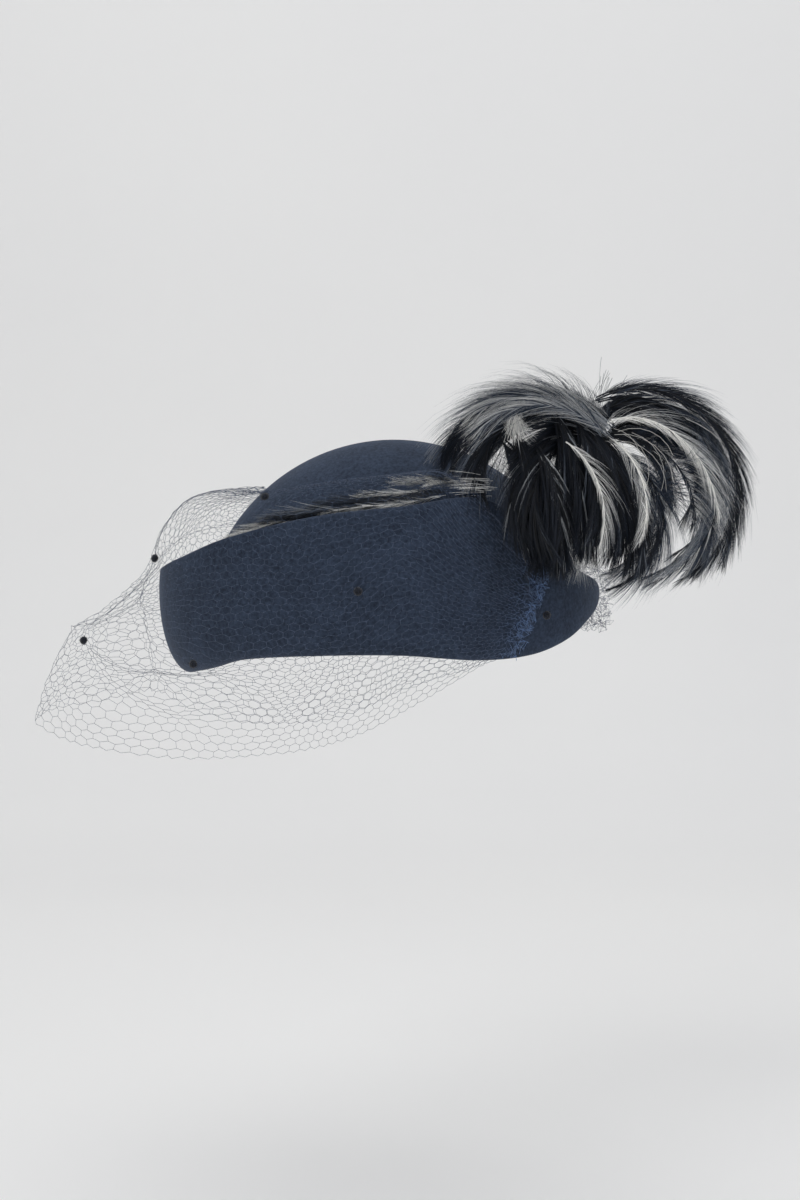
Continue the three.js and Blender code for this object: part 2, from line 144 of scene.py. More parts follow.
# The seat is the brim's inner edge on the crown, as (out, height) from the seam and the fold.
# The tuck is a narrow upright dent in the wall beside the veil's near gather.
brim = {
    "thickness": 2.4, "sewingGap": 0.3, "seat": [(0, 7), (0, 4.5), (0, 2.4), (0.35, 1.3), (1.1, 0.6)],
    "foldOut": 3.7, "aroundSteps": 220, "curveSteps": 18, "wallSteps": 7, "wallEase": 0.8,
    "mapSize": (0.62, 0.12),
    "tuckAngle": 127.5, "tuckDepth": 5.5, "tuckWidth": 1.3, "tuckFrom": 26, "tuckTo": 42, "tuckOut": 4,
}
brimRows = rowsOf(
    "angle fold out rise top lean",
    (0, -6, 19.7, 41, 45, 0.5),
    (26, -3.5, 19, 40, 50, 0.8),
    (46, 2, 17.3, 38, 59, 1.2),
    (72, 4.4, 14.8, 36, 68.5, 2),
    (92, 4.6, 13.7, 36, 72.4, 2.4),
    (113, 2.3, 12.6, 38, 76.4, 2.4),
    (130, 4.6, 10.4, 33, 61, 1.6),
    (145, 11.6, 8, 22, 46.5, 1),
    (160, 21.4, 6.2, 13, 41, 0.8),
    (180, 28.5, 5.2, 5.5, 37, 0.6),
)


def columnAt(rows, column, angle):
    # A smooth curve through one column of a table
    last = len(rows) - 1
    if angle <= rows[0]["angle"]:
        return rows[0][column]
    if angle >= rows[last]["angle"]:
        return rows[last][column]
    i = next(k for k in range(last) if rows[k + 1]["angle"] > angle)

    def slope(k):
        if k in (0, last):
            return 0
        before, after = rows[k - 1], rows[k + 1]
        return (after[column] - before[column]) / (after["angle"] - before["angle"])

    span = rows[i + 1]["angle"] - rows[i]["angle"]
    t = (angle - rows[i]["angle"]) / span
    return (
        rows[i][column] * (1 + 2 * t) * (1 - t) ** 2
        + slope(i) * span * t * (1 - t) ** 2
        + rows[i + 1][column] * t * t * (3 - 2 * t)
        + slope(i + 1) * span * t * t * (t - 1)
    )


def around(angle, out, z):
    # A point at an angle round the head, a distance out from the head line, and a height
    a = math.radians(angle)
    nx, ny = math.sin(a) / crown["halfWidth"], -math.cos(a) / crown["halfLength"]
    size = math.hypot(nx, ny)
    x = crown["halfWidth"] * math.sin(a) + out * nx / size
    y = crown["centreY"] - crown["halfLength"] * math.cos(a) + out * ny / size
    return np.array([x, y, z])


def onCrown(angle, z, out=0.0):
    sine = max((z - crown["centreZ"]) / crown["rise"], 0)
    shrink = math.sqrt(max(1 - sine * sine, 0))
    a = math.radians(angle)
    point = np.array([
        crown["halfWidth"] * shrink * math.sin(a),
        crown["centreY"] - crown["halfLength"] * shrink * math.cos(a),
        z,
    ])
    normal = np.array([
        point[0] / crown["halfWidth"] ** 2,
        (point[1] - crown["centreY"]) / crown["halfLength"] ** 2,
        max(z - crown["centreZ"], 0) / crown["rise"] ** 2,
    ])
    return point + out * unit(normal)


def shapedGrid(name, aroundSteps, upSteps, place, mapSize):
    # A flat grid bent round the hat: u runs from the front to the wearer's left, v from low to high.
    bm = bmesh.new()
    bmesh.ops.create_grid(bm, x_segments=aroundSteps, y_segments=upSteps, size=0.5)
    uvLayer = bm.loops.layers.uv.new("feltMap")
    for face in bm.faces:
        for loop in face.loops:
            u, v = loop.vert.co.x + 0.5, loop.vert.co.y + 0.5
            loop[uvLayer].uv = (u * mapSize[0], v * mapSize[1])
    for vertex in bm.verts:
        vertex.co = Vector(place(vertex.co.x + 0.5, vertex.co.y + 0.5)) * mm
    bmesh.ops.remove_doubles(bm, verts=bm.verts, dist=weld * mm)
    for face in bm.faces:
        face.smooth = True
    return addObject(name, meshOf(bm, name))


def addWall(piece, thickness):
    wall = piece.modifiers.new("wall", "SOLIDIFY")
    wall.thickness = thickness * mm
    wall.offset = -1  # the grid is the outer face
    wall.use_quality_normals = True
    smooth = piece.modifiers.new("smooth", "SUBSURF")
    smooth.levels = smooth.render_levels = 1


def furFelt():
    # Fur felt, blocked and brushed: a dense matt nap with no shine, faintly cloudy where the dye and
    # the fibres lie uneven, and a soft light bloom where it turns away from the eye.
    material, tree = newMaterial("furFelt")
    place = addNode(tree, "ShaderNodeTexCoord").outputs["Object"]
    clouds = addNode(tree, "ShaderNodeTexNoise", {
        "Scale": scaleFor(felt["cloudSize"]), "Detail": 3, "Roughness": 0.6,
    }, {"Vector": place})
    fibres = addNode(tree, "ShaderNodeTexNoise", {
        "Scale": scaleFor(felt["tuftSize"]), "Detail": 3, "Roughness": 0.75,
    }, {"Vector": place})
    cloudRamp = addNode(tree, "ShaderNodeValToRGB", links={"Fac": clouds.outputs["Fac"]})
    fillRamp(cloudRamp, [(0.36, felt["deep"]), (0.64, felt["light"])])
    fibreRamp = addNode(tree, "ShaderNodeValToRGB", links={"Fac": fibres.outputs["Fac"]})
    fillRamp(fibreRamp, [(0.34, felt["shade"]), (0.66, felt["bloom"])])
    mixed = addNode(tree, "ShaderNodeMix", {"data_type": "RGBA", 0: 0.5},
                    {6: cloudRamp.outputs["Color"], 7: fibreRamp.outputs["Color"]})
    low = addNode(tree, "ShaderNodeBump", {"Strength": 0.25, "Distance": felt["waveHeight"] * mm},
                  {"Height": clouds.outputs["Fac"]})
    nap = addNode(tree, "ShaderNodeBump", {"Strength": 0.5, "Distance": felt["napHeight"] * mm},
                  {"Height": fibres.outputs["Fac"], "Normal": low.outputs["Normal"]})
    surface = addNode(tree, "ShaderNodeBsdfPrincipled", {
        "Roughness": 0.95, "Specular IOR Level": 0.2, "Sheen Weight": 0.22, "Sheen Roughness": 0.45,
        "Sheen Tint": hexToLinear(felt["sheen"]),
    }, {"Base Color": mixed.outputs[2], "Normal": nap.outputs["Normal"]})
    addNode(tree, "ShaderNodeOutputMaterial", links={"Surface": surface.outputs["BSDF"]})
    return material


# The nap's tufts are drawn some way coarser than single fibres, which are too fine to show
felt = {
    "deep": "#212937", "light": "#2f394a", "shade": "#151c28", "bloom": "#414d61", "sheen": "#9fabc0",
    "cloudSize": 14.286, "tuftSize": 1.6129, "waveHeight": 1.2, "napHeight": 0.3,
}
feltMaterial = furFelt()


def foldAngle(angle):
    return 360 - angle if angle > 180 else angle


def makeCrown():
    def place(u, v):
        angle = 360 * u
        edge = columnAt(brimRows, "fold", foldAngle(angle)) + crown["edgeUp"]
        start = math.asin((edge - crown["centreZ"]) / crown["rise"])
        up = start + (math.pi / 2 - start) * v
        return onCrown(angle, crown["centreZ"] + crown["rise"] * math.sin(up))

    piece = shapedGrid("felt_crown", crown["aroundSteps"], crown["upSteps"], place, crown["mapSize"])
    addWall(piece, crown["thickness"])
    piece.data.materials.append(feltMaterial)
    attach(piece, "root")
    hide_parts("crown")


def brimSection(angle):
    # Outer face of the brim: a seat on the crown, the fold, and the wall, as (out, height)
    def at(column):
        return columnAt(brimRows, column, foldAngle(angle))

    fold = at("fold")
    points = [(brim["sewingGap"] + out, fold + height) for out, height in brim["seat"]]
    for k in range(brim["curveSteps"] + 1):
        q = math.pi / 2 * k / brim["curveSteps"]
        out = brim["foldOut"] + (at("out") - brim["foldOut"]) * math.sin(q)
        points.append((out, fold + at("rise") * (1 - math.cos(q))))
    foot = points[-1]
    for k in range(1, brim["wallSteps"] + 1):
        t = (k / brim["wallSteps"]) ** brim["wallEase"]
        points.append((lerp(foot[0], at("out") - at("lean"), t * t), lerp(foot[1], at("top"), t)))
    return points


def makeBrim():
    sections = {}
    steps = len(brim["seat"]) + brim["curveSteps"] + brim["wallSteps"]

    def place(u, v):
        key = round(u * brim["aroundSteps"]) % brim["aroundSteps"]
        angle = 360 * key / brim["aroundSteps"]
        if key not in sections:
            sections[key] = brimSection(angle)
        out, z = sections[key][round(v * steps)]
        tuck = math.exp(-((angle - brim["tuckAngle"]) / brim["tuckWidth"]) ** 2)
        if out > brim["tuckOut"]:
            out -= brim["tuckDepth"] * tuck * float(smoothStep(z, brim["tuckFrom"], brim["tuckTo"]))
        return around(angle, out, z)

    piece = shapedGrid("felt_brim", brim["aroundSteps"], steps, place, brim["mapSize"])
    addWall(piece, brim["thickness"])
    piece.data.materials.append(feltMaterial)
    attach(piece, "root")
    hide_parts("brim")


makeCrown()
makeBrim()
print("felt crown and brim made")


class Strands:
    # Many small strips gathered into one mesh: rows of points, two to a row, joined by quads
    def __init__(self):
        self.points, self.faces, self.tones, self.count = [], [], [], 0

    def addStrips(self, left, right, tone):
        # left, right: strips x rows x 3; tone: strips x rows
        strips, rows = left.shape[:2]
        both = np.stack([left, right], 2).reshape(strips, rows * 2, 3)
        self.points.append(both.reshape(-1, 3))
        self.tones.append(np.repeat(tone, 2, axis=1).reshape(-1))
        first = self.count + np.arange(strips)[:, None] * rows * 2 + np.arange(rows - 1)[None, :] * 2
        self.faces.append(np.stack([first, first + 1, first + 3, first + 2], 2).reshape(-1, 4))
        self.count += strips * rows * 2

    def addTubes(self, middle, across, upward, tone, sides=3):
        # middle: tubes x rows x 3, with across and upward the two half widths; open ended
        tubes, rows = middle.shape[:2]
        turns = np.arange(sides) * 2 * math.pi / sides
        ring = (middle[:, :, None] + across[:, :, None] * np.cos(turns)[None, None, :, None]
                + upward[:, :, None] * np.sin(turns)[None, None, :, None])
        self.points.append(ring.reshape(-1, 3))
        self.tones.append(np.repeat(tone, sides, axis=1).reshape(-1))
        start = self.count + (np.arange(tubes)[:, None] * rows + np.arange(rows - 1)[None, :]) * sides
        for k in range(sides):
            n = (k + 1) % sides
            quads = np.stack([start + k, start + n, start + sides + n, start + sides + k], 2)
            self.faces.append(quads.reshape(-1, 4))
        self.count += tubes * rows * sides

    def toPiece(self, name, material, smooth=True):
        points = np.concatenate(self.points) * mm
        faces = np.concatenate(self.faces)
        mesh = bpy.data.meshes.new(name)
        mesh.vertices.add(len(points))
        mesh.vertices.foreach_set("co", points.astype(np.float32).ravel())
        mesh.loops.add(len(faces) * 4)
        mesh.loops.foreach_set("vertex_index", faces.astype(np.int32).ravel())
        mesh.polygons.add(len(faces))
        mesh.polygons.foreach_set("loop_start", np.arange(len(faces), dtype=np.int32) * 4)
        mesh.polygons.foreach_set("use_smooth", np.full(len(faces), smooth))
        tone = mesh.attributes.new("tone", "FLOAT", "POINT")
        tone.data.foreach_set("value", np.concatenate(self.tones).astype(np.float32))
        mesh.update(calc_edges=True)
        mesh.validate()
        mesh.materials.append(material)
        print(name, "has", len(faces) * 2, "triangles")
        return addObject(name, mesh)


def cockFeather(name, stops, roughness):
    # Cock feather, dyed: silky barbs with a soft gloss along them, each barb a little lighter or
    # darker than the next. The tone of each barb is written on the mesh; on the dark feathers the
    # pale streaked locks are a painted gloss highlight.
    material, tree = newMaterial(name)
    tone = addNode(tree, "ShaderNodeAttribute", {"attribute_name": "tone"})
    ramp = addNode(tree, "ShaderNodeValToRGB", links={"Fac": tone.outputs["Fac"]})
    fillRamp(ramp, stops)
    surface = addNode(tree, "ShaderNodeBsdfPrincipled", {
        "Roughness": roughness, "Specular IOR Level": 0.22, "Sheen Weight": 0.04, "Sheen Roughness": 0.3,
    }, {"Base Color": ramp.outputs["Color"]})
    addNode(tree, "ShaderNodeOutputMaterial", links={"Surface": surface.outputs["BSDF"]})
    return material


featherStops = [(0.0, "#0a0b0e"), (0.2, "#1a212d"), (0.4, "#333e4f"), (0.62, "#84898f"), (0.82, "#cbcbc9"),
                (1.0, "#f2f0ea")]
plumeMaterial = cockFeather("dyedCockFeather", featherStops, 0.5)
palePlumeMaterial = cockFeather("bleachedCockFeather", featherStops, 0.5)


def framesAlong(path, spread):
    # Direction, sideways and face of a vane along its quill; the vane lies mostly upright
    along = unit(np.gradient(path, axis=0))
    away = unit(np.cross(along, np.array([1.0, 0, 0])))
    side = unit(away + np.array([spread, 0, 0]))
    side = unit(side - along * np.sum(side * along, 1, keepdims=True))
    return along, side, np.cross(along, side)


def at(table, t):
    # Rows of a table at fractions of its length
    place = np.clip(t, 0, 1) * (len(table) - 1)
    low = np.minimum(place.astype(int), len(table) - 2)
    share = (place - low)[..., None]
    return table[low] * (1 - share) + table[low + 1] * share


def locksOf(count, mean, rng):
    # Barbs cling in locks: the number of the lock that each barb belongs to, and its middle
    sizes = np.maximum(2, rng.poisson(mean, count)).cumsum()
    lock = np.searchsorted(sizes, np.arange(count), side="right")
    middle = np.array([np.mean(np.flatnonzero(lock == k)) for k in range(lock.max() + 1)])
    return lock, middle[lock]


quill = {"steps": 28, "tip": 0.08, "sides": 4}
# What a barb is like unless its feather says otherwise. Start and end are fractions of the quill
# and spread is the barb's angle to it in degrees.
plainBarb = {
    "start": 0.03, "end": 0.997, "spacing": 0.2, "rows": 5, "width": 0.17, "spread": 24, "sweep": 0.5,
    "lock": 9, "roll": 0.09, "ruffle": 0.1, "cling": 0.35, "follow": 0.6, "droop": 0.08,
    "streaks": 0, "streakTone": 0.85,
}
# How the barbs of every feather vary: their length along the quill, and from barb to barb
vane = {
    "rootLength": 0.55, "before": 0.03, "grown": 0.2, "fallFrom": 0.5, "fallOver": 0.58, "fallPower": 2.2,
    "tipLength": 0.16, "tipRoom": 1.15, "tipSpare": (3, 7), "lockLength": (0.8, 1.15), "lengthSpread": 0.13,
    "lengthLimits": (0.5, 1.5), "tipSpread": 0.6, "angleSpread": 0.06, "clingPower": 1.4,
    "liftSpread": 0.03, "liftPower": 1.5, "rollSpread": 0.6, "taper": 0.8, "taperPower": 1.3,
    "endFrom": 0.4, "endTo": 0.7, "lockTone": 0.04, "barbTone": 0.03, "streakAndGlossSpread": 0.06,
}


def addQuill(strands, path, frames, width, tone):
    side, face = frames[1:]
    t = np.linspace(0, 1, quill["steps"])
    half = lerp(width, quill["tip"], t)[None, :, None]
    strands.addTubes(at(path, t)[None], at(side, t)[None] * half, at(face, t)[None] * half,
                     np.full((1, len(t)), tone), quill["sides"])


def addBarbs(strands, path, frames, look, sign, rng):
    # Barbs on one side: they leave the quill at an angle and sweep round towards its tip
    barb = {**plainBarb, **look}
    along, side, face = frames
    length = np.linalg.norm(np.diff(path, axis=0), axis=1).sum()
    start, end, rows = barb["start"], barb["end"], barb["rows"]
    count = int(length * (end - start) / barb["spacing"])
    s = np.linspace(0, 1, rows)[None, :]
    t = np.sort(rng.uniform(start, end, count))
    lock, middleIndex = locksOf(count, barb["lock"], rng)
    lockMiddle = t[middleIndex.astype(int)]
    locks = lock.max() + 1
    lockLength = rng.uniform(*vane["lockLength"], locks)[lock]
    lockRoll = rng.normal(0, barb["roll"], locks)[lock]
    lockSpread = rng.normal(1, barb["ruffle"], locks)[lock]
    # Streaked locks take one tone along their length: pale ones on the dark feathers are a painted gloss
    # highlight, elsewhere they are locks of another tone
    streakedAndGlossy = (rng.random(locks) < barb["streaks"])[lock]
    envelope = lerp(vane["rootLength"], 1, smoothStep(t, start - vane["before"], start + vane["grown"]))
    fall = ((t - vane["fallFrom"]) / vane["fallOver"]).clip(0) ** vane["fallPower"]
    envelope *= np.clip(1 - fall, vane["tipLength"], 1)
    variation = rng.normal(1, vane["lengthSpread"], count).clip(*vane["lengthLimits"])
    reach = barb["length"] * envelope * lockLength * variation
    # Near the tip a barb is no longer than what is left of the quill
    room = (1 - t) * length * vane["tipRoom"] + rng.uniform(*vane["tipSpare"], count)
    reach = np.minimum(reach, room)[:, None]
    spread = np.radians(lerp(barb["spread"], barb["spread"] * vane["tipSpread"], t))
    angle = (spread * lockSpread * rng.normal(1, vane["angleSpread"], count))[:, None]
    turn = angle * (1 - barb["sweep"] * s)
    step = 1 / (rows - 1)
    forward = np.cumsum(np.cos(turn), 1) * step - np.cos(turn[:, :1]) * step
    outward = np.cumsum(np.sin(turn), 1) * step - np.sin(turn[:, :1]) * step
    cling = ((lockMiddle - t) * length * barb["cling"])[:, None] * s ** vane["clingPower"]
    lift = (lockRoll + rng.normal(0, vane["liftSpread"], count))[:, None] * s ** vane["liftPower"] * reach
    # Each barb follows the quill's own bend
    ahead = np.clip(t[:, None] + (forward * reach + cling) / length, 0, 1)
    beyond = np.maximum(t[:, None] + (forward * reach + cling) / length - 1, 0) * length
    p, a, d, f = (at(table, ahead) for table in (path, along, side, face))
    straight = at(path, t)[:, None] + at(along, t)[:, None] * (forward * reach + cling)[..., None]
    bent = p + a * beyond[..., None]
    sideways = lerp(np.broadcast_to(at(side, t)[:, None], d.shape), d, barb["follow"])
    points = lerp(straight, bent, barb["follow"]) + sign * sideways * (outward * reach)[..., None]
    points = points + f * lift[..., None]
    points[..., 2] -= barb["droop"] * reach * s ** 2
    heading = unit(np.gradient(points, axis=1))
    roll = rng.normal(0, vane["rollSpread"], count)[:, None, None]
    across = unit(np.cross(heading, f * np.cos(roll) + sign * d * np.sin(roll)))
    towardsTip = s ** vane["taperPower"]
    half = across * (barb["width"] / 2 * (1 - vane["taper"] * towardsTip))[..., None]
    tone = lerp(barb["tone"], barb["tipTone"], towardsTip)
    if "endTone" in barb:
        tone = lerp(tone, barb["endTone"], smoothStep(t, vane["endFrom"], vane["endTo"])[:, None])
    uneven = rng.normal(0, vane["lockTone"], locks)[lock] + rng.normal(0, vane["barbTone"], count)
    tone = tone + uneven[:, None]
    lockStreakAndGloss = barb["streakTone"] + rng.normal(0, vane["streakAndGlossSpread"], count)[:, None]
    tone = np.where(streakedAndGlossy[:, None], lockStreakAndGloss, tone)
    strands.addStrips(points - half, points + half, np.clip(tone, 0, 1))


# Plume: the quills leave the knot in the crease, run straight to their roots, then curl
knot = {"x": 56, "y": 69, "z": 58}
plumeRows = rowsOf(
    "name x y z aft lift turn bias length out",
    ("aft outer", 58, 97, 124, 1, 28, 182, 0.95, 146, 4),
    ("aft upper", 46, 98, 118, 1, 40, 160, 0.9, 104, -10),
    ("aft white", 66, 98, 109, 1, 80, 165, 0.42, 82, 9),
    ("aft dark", 50, 99, 104, 1, 62, 175, 0.7, 114, -4),
    ("aft inner", 60, 98, 104, 1, 25, 150, 0.8, 92, 6),
    ("aft low", 62, 96, 98, 1, 5, 165, 0.9, 90, 10),
    ("middle white", 80, 98, 105, 1, -30, 85, 0.9, 56, 16),
    ("middle black", 70, 96, 104, 1, -48, 62, 1, 64, 20),
    ("fore white", 92, 79, 101, 1, -35, 75, 0.9, 54, 14),
    ("low dark", 82, 83, 100, 1, -62, 38, 1, 50, 12),
    ("low black", 87, 67, 97, 1, -64, 36, 1, 52, 10),
    ("fore top", 64, 103, 110, -1, 46, 118, 1, 98, 6),
    ("fore far", 50, 100, 107, -1, 46, 116, 1, 86, -6),
    ("fore upper", 70, 97, 108, -1, 46, 150, 1, 92, 12),
    ("fore lower", 74, 99, 104, -1, 72, 190, 0.6, 84, 24),
    ("fore hanging", 76, 92, 102, -1, 40, 155, 0.6, 74, 24),
)
# Barbs of one side of a feather: how long and wide set they are, and their tone from quill to tip.
# Pale streaks on the dark feathers are painted gloss highlights along smooth locks.
black = {"length": 25, "spread": 22, "tone": 0.05, "tipTone": 0.15, "streaks": 0.035, "streakTone": 0.48}
blackStreakedAndGlossy = {"length": 24, "spread": 20, "tone": 0.03, "tipTone": 0.1, "streaks": 0.1,
                 "streakTone": 0.66}
navy = {"length": 26, "spread": 24, "tone": 0.08, "tipTone": 0.2, "streaks": 0.04, "streakTone": 0.5}
darkBand = {"length": 22, "spread": 19, "tone": 0.07, "tipTone": 0.17, "streaks": 0.02, "streakTone": 0.45}
paleTips = {"length": 27, "spread": 30, "tone": 0.12, "tipTone": 0.7, "streaks": 0.1, "spacing": 0.4,
            "lock": 4}
wisps = {"length": 27, "spread": 50, "tone": 0.4, "tipTone": 0.74, "spacing": 0.36, "lock": 3, "sweep": 0.3,
         "droop": 0.25, "width": 0.12}
lateWisps = {**wisps, "start": 0.34, "length": 29}
flatBand = {"length": 17, "spread": 15, "tone": 0.07, "tipTone": 0.15, "streaks": 0.02, "streakTone": 0.45}
radiating = {"length": 25, "spread": 58, "tone": 0.16, "tipTone": 0.6, "streaks": 0.25,
             "spacing": 0.26, "lock": 5, "sweep": 0.35, "start": 0.12, "end": 0.8, "width": 0.14}
shortDark = {"length": 7, "spread": 24, "tone": 0.14, "tipTone": 0.3, "spacing": 0.4, "end": 0.85}
white = {"length": 16, "spread": 25, "tone": 0.97, "tipTone": 0.86, "streaks": 0.06, "streakTone": 0.5,
         "spacing": 0.3, "lock": 5, "width": 0.14}
whiteNarrow = {"length": 9, "spread": 18, "tone": 0.97, "tipTone": 0.86, "streaks": 0.1, "streakTone": 0.4,
               "spacing": 0.34, "lock": 4, "width": 0.14}
whiteFringe = {"length": 17, "spread": 34, "tone": 0.92, "tipTone": 0.78, "streaks": 0.1, "streakTone": 0.3,
               "spacing": 0.6, "lock": 3, "width": 0.13}
haze = {"length": 25, "spread": 34, "tone": 0.85, "tipTone": 0.68, "spacing": 0.5, "lock": 4, "width": 0.14}
cream = {"length": 8, "spread": 62, "tone": 0.8, "tipTone": 0.86, "spacing": 0.36, "lock": 3, "width": 0.13}
grey = {"length": 27, "spread": 20, "tone": 0.66, "tipTone": 0.84, "streaks": 0.45, "streakTone": 0.3,
        "spacing": 0.28, "lock": 3, "width": 0.15}
greyThenDark = {"length": 27, "spread": 20, "tone": 0.76, "tipTone": 0.86, "endTone": 0.12, "streaks": 0.34,
                "streakTone": 0.2, "spacing": 0.26, "lock": 3, "width": 0.15}
greyNavy = {"length": 25, "spread": 28, "tone": 0.26, "tipTone": 0.5, "streaks": 0.14, "streakTone": 0.75,
            "spacing": 0.3, "lock": 5}
# Which feathers make up each part of the plume; copies are slightly bent and shifted, and a row
# that names no quill has the plume's own
plumeLooks = rowsOf(
    "part outer inner copies quillTone quill",
    ("aft outer", flatBand, darkBand, 3),
    ("aft outer", lateWisps, paleTips, 2),
    ("aft upper", flatBand, darkBand, 2),
    ("aft upper", lateWisps, greyNavy, 1),
    ("aft white", white, haze, 1, 0.96, 0.5),
    ("aft dark", navy, black, 3),
    ("aft dark", greyNavy, haze, 1),
    ("aft inner", shortDark, radiating, 2, 0.12, 0.35),
    ("aft low", navy, greyNavy, 1),
    ("aft low", paleTips, greyNavy, 2),
    ("middle white", whiteFringe, whiteNarrow, 1, 1.0, 0.45),
    ("middle black", black, black, 5),
    ("fore white", whiteNarrow, whiteFringe, 1, 0.95, 0.4),
    ("low dark", black, blackStreakedAndGlossy, 5),
    ("low black", black, blackStreakedAndGlossy, 4),
    ("fore top", greyThenDark, greyThenDark, 2, 0.2),
    ("fore top", wisps, navy, 1),
    ("fore far", navy, darkBand, 2),
    ("fore far", wisps, greyThenDark, 1),
    ("fore upper", navy, black, 2),
    ("fore lower", black, black, 4),
    ("fore hanging", blackStreakedAndGlossy, black, 5),
    ("front grey", grey, grey, 3, 0.5, 0.2),
    ("cream curl", cream, cream, 2, 0.6, 0.2),
    ("inner fill", navy, black, 2),
    ("top tuft", darkBand, navy, 4),
    ("low fill", black, blackStreakedAndGlossy, 5),
    ("low middle fill", black, black, 3),
    ("low centre fill", black, black, 5),
    ("low left edge fill", black, black, 3),
    ("low left fill", blackStreakedAndGlossy, black, 4),
    ("middle fill", black, black, 4),
    ("inner fluff", haze, haze, 2, 0.9, 0.2),
)
plume = {
    "seed": 11, "pathSteps": 60, "stemSteps": 8, "sideLean": 0.55, "leanSpread": (0.4, 1.3),
    "shift": 5, "shiftShare": {"x": 1.0, "y": 0.5, "z": 0.4}, "shrink": 0.84, "liftSpread": (-10, 8),
    "outSpread": (-6, 6), "quill": 0.45, "quillTone": 0.05, "stem": 0.5,
}
# Smaller feathers that only dress the plume
dressingRows = rowsOf(
    "name x y z aft lift turn bias length out",
    ("front grey", 90, 96, 105, -1, 50, 92, 1.2, 68, 6),
    ("cream curl", 88, 62, 122, -1, 10, 175, 0.8, 24, 4),
    ("inner fill", 58, 98, 106, 1, 15, 115, 0.9, 52, 2),
    ("top tuft", 56, 96, 113, 1, 45, 110, 1, 44, 4),
    ("low fill", 84, 75, 114, 1, -56, 42, 1, 60, 8),
    ("low middle fill", 82, 82, 112, 1, -52, 46, 1, 55, 10),
    ("low centre fill", 76, 76, 116, 1, -70, 28, 1, 56, 8),
    ("low left edge fill", 82, 50, 104, 1, -56, 20, 1, 64, 8),
    ("low left fill", 86, 57, 106, 1, -58, 28, 1, 62, 8),
    ("middle fill", 80, 88, 113, 1, -50, 55, 1, 58, 12),
    ("inner fluff", 82, 84, 56, 1, -70, 30, 1, 14, 4),
)
paleFeathers = (
    "aft white", "middle white", "fore white", "front grey", "fore top", "cream curl", "inner fluff",
)
# Bare hairs that stand out of the plume, in groups: where they start, their slope and their length
hairRows = rowsOf(
    "name x y z count slope fan turn length tone shift",
    ("notch hairs", 64, 97, 118, 16, 84, 16, 12, 17, 0.25),
    ("forked wisps", 82, 98, 106, 7, 8, 12, 95, 40, 0.92),
    ("fore hairs", 78, 58, 110, 40, -128, 16, -18, 36, 0.24),
    ("cream fan", 95, 56.5, 113, 70, -100, 15, -8, 11, 0.88, 0.8),
    ("aft tuft", 74, 122, 82, 120, 5, 42, 20, 22, 0.3, 4),
    ("striped ends", 84, 45, 81, 70, 170, 4, -12, 15, 0.82, 2),
    ("grey tuft", 68, 45, 94, 90, -40, 60, 30, 14, 0.6, 5),
    ("fountain hairs", 86, 99.5, 106, 130, 142, 6, -14, 26, 0.62, 1.8),
)
hair = {"width": 0.09, "shift": 3, "rows": 7, "shortest": 0.5, "toneSpread": 0.1}


def curl(row, steps):
    t = (np.arange(steps) + 0.5) / steps
    slope = np.radians(row["lift"] - row["turn"] * t ** row["bias"])
    step = row["length"] / steps
    moves = np.stack([
        np.full(steps, row["out"] / steps),
        row["aft"] * step * np.cos(slope),
        step * np.sin(slope),
    ], 1)
    root = np.array([row["x"], row["y"], row["z"]], float)
    return np.vstack([root, root + np.cumsum(moves, 0)])


def addHairs(strands, row, rng):
    count, rows = row["count"], hair["rows"]
    t = np.linspace(0, 1, rows)[None, :]
    slope = np.radians(row["slope"] + rng.normal(0, row["fan"], count)[:, None] - row["turn"] * t)
    step = (row["length"] * rng.uniform(hair["shortest"], 1, count) / (rows - 1))[:, None]
    root = np.array([row["x"], row["y"], row["z"]])
    root = root + rng.normal(0, row.get("shift", hair["shift"]), (count, 3))
    moves = np.stack([np.zeros((count, rows)), step * np.cos(slope), step * np.sin(slope)], 2)
    points = root[:, None] + np.cumsum(moves, 1)
    heading = unit(np.gradient(points, axis=1))
    across = unit(np.cross(heading, np.array([1.0, 0, 0]))) * hair["width"]
    uneven = rng.normal(0, hair["toneSpread"], count)[:, None]
    tone = np.clip(np.full((count, rows), row["tone"]) + uneven, 0, 1)
    strands.addTubes(points, across, unit(np.cross(across, heading)) * hair["width"], tone)


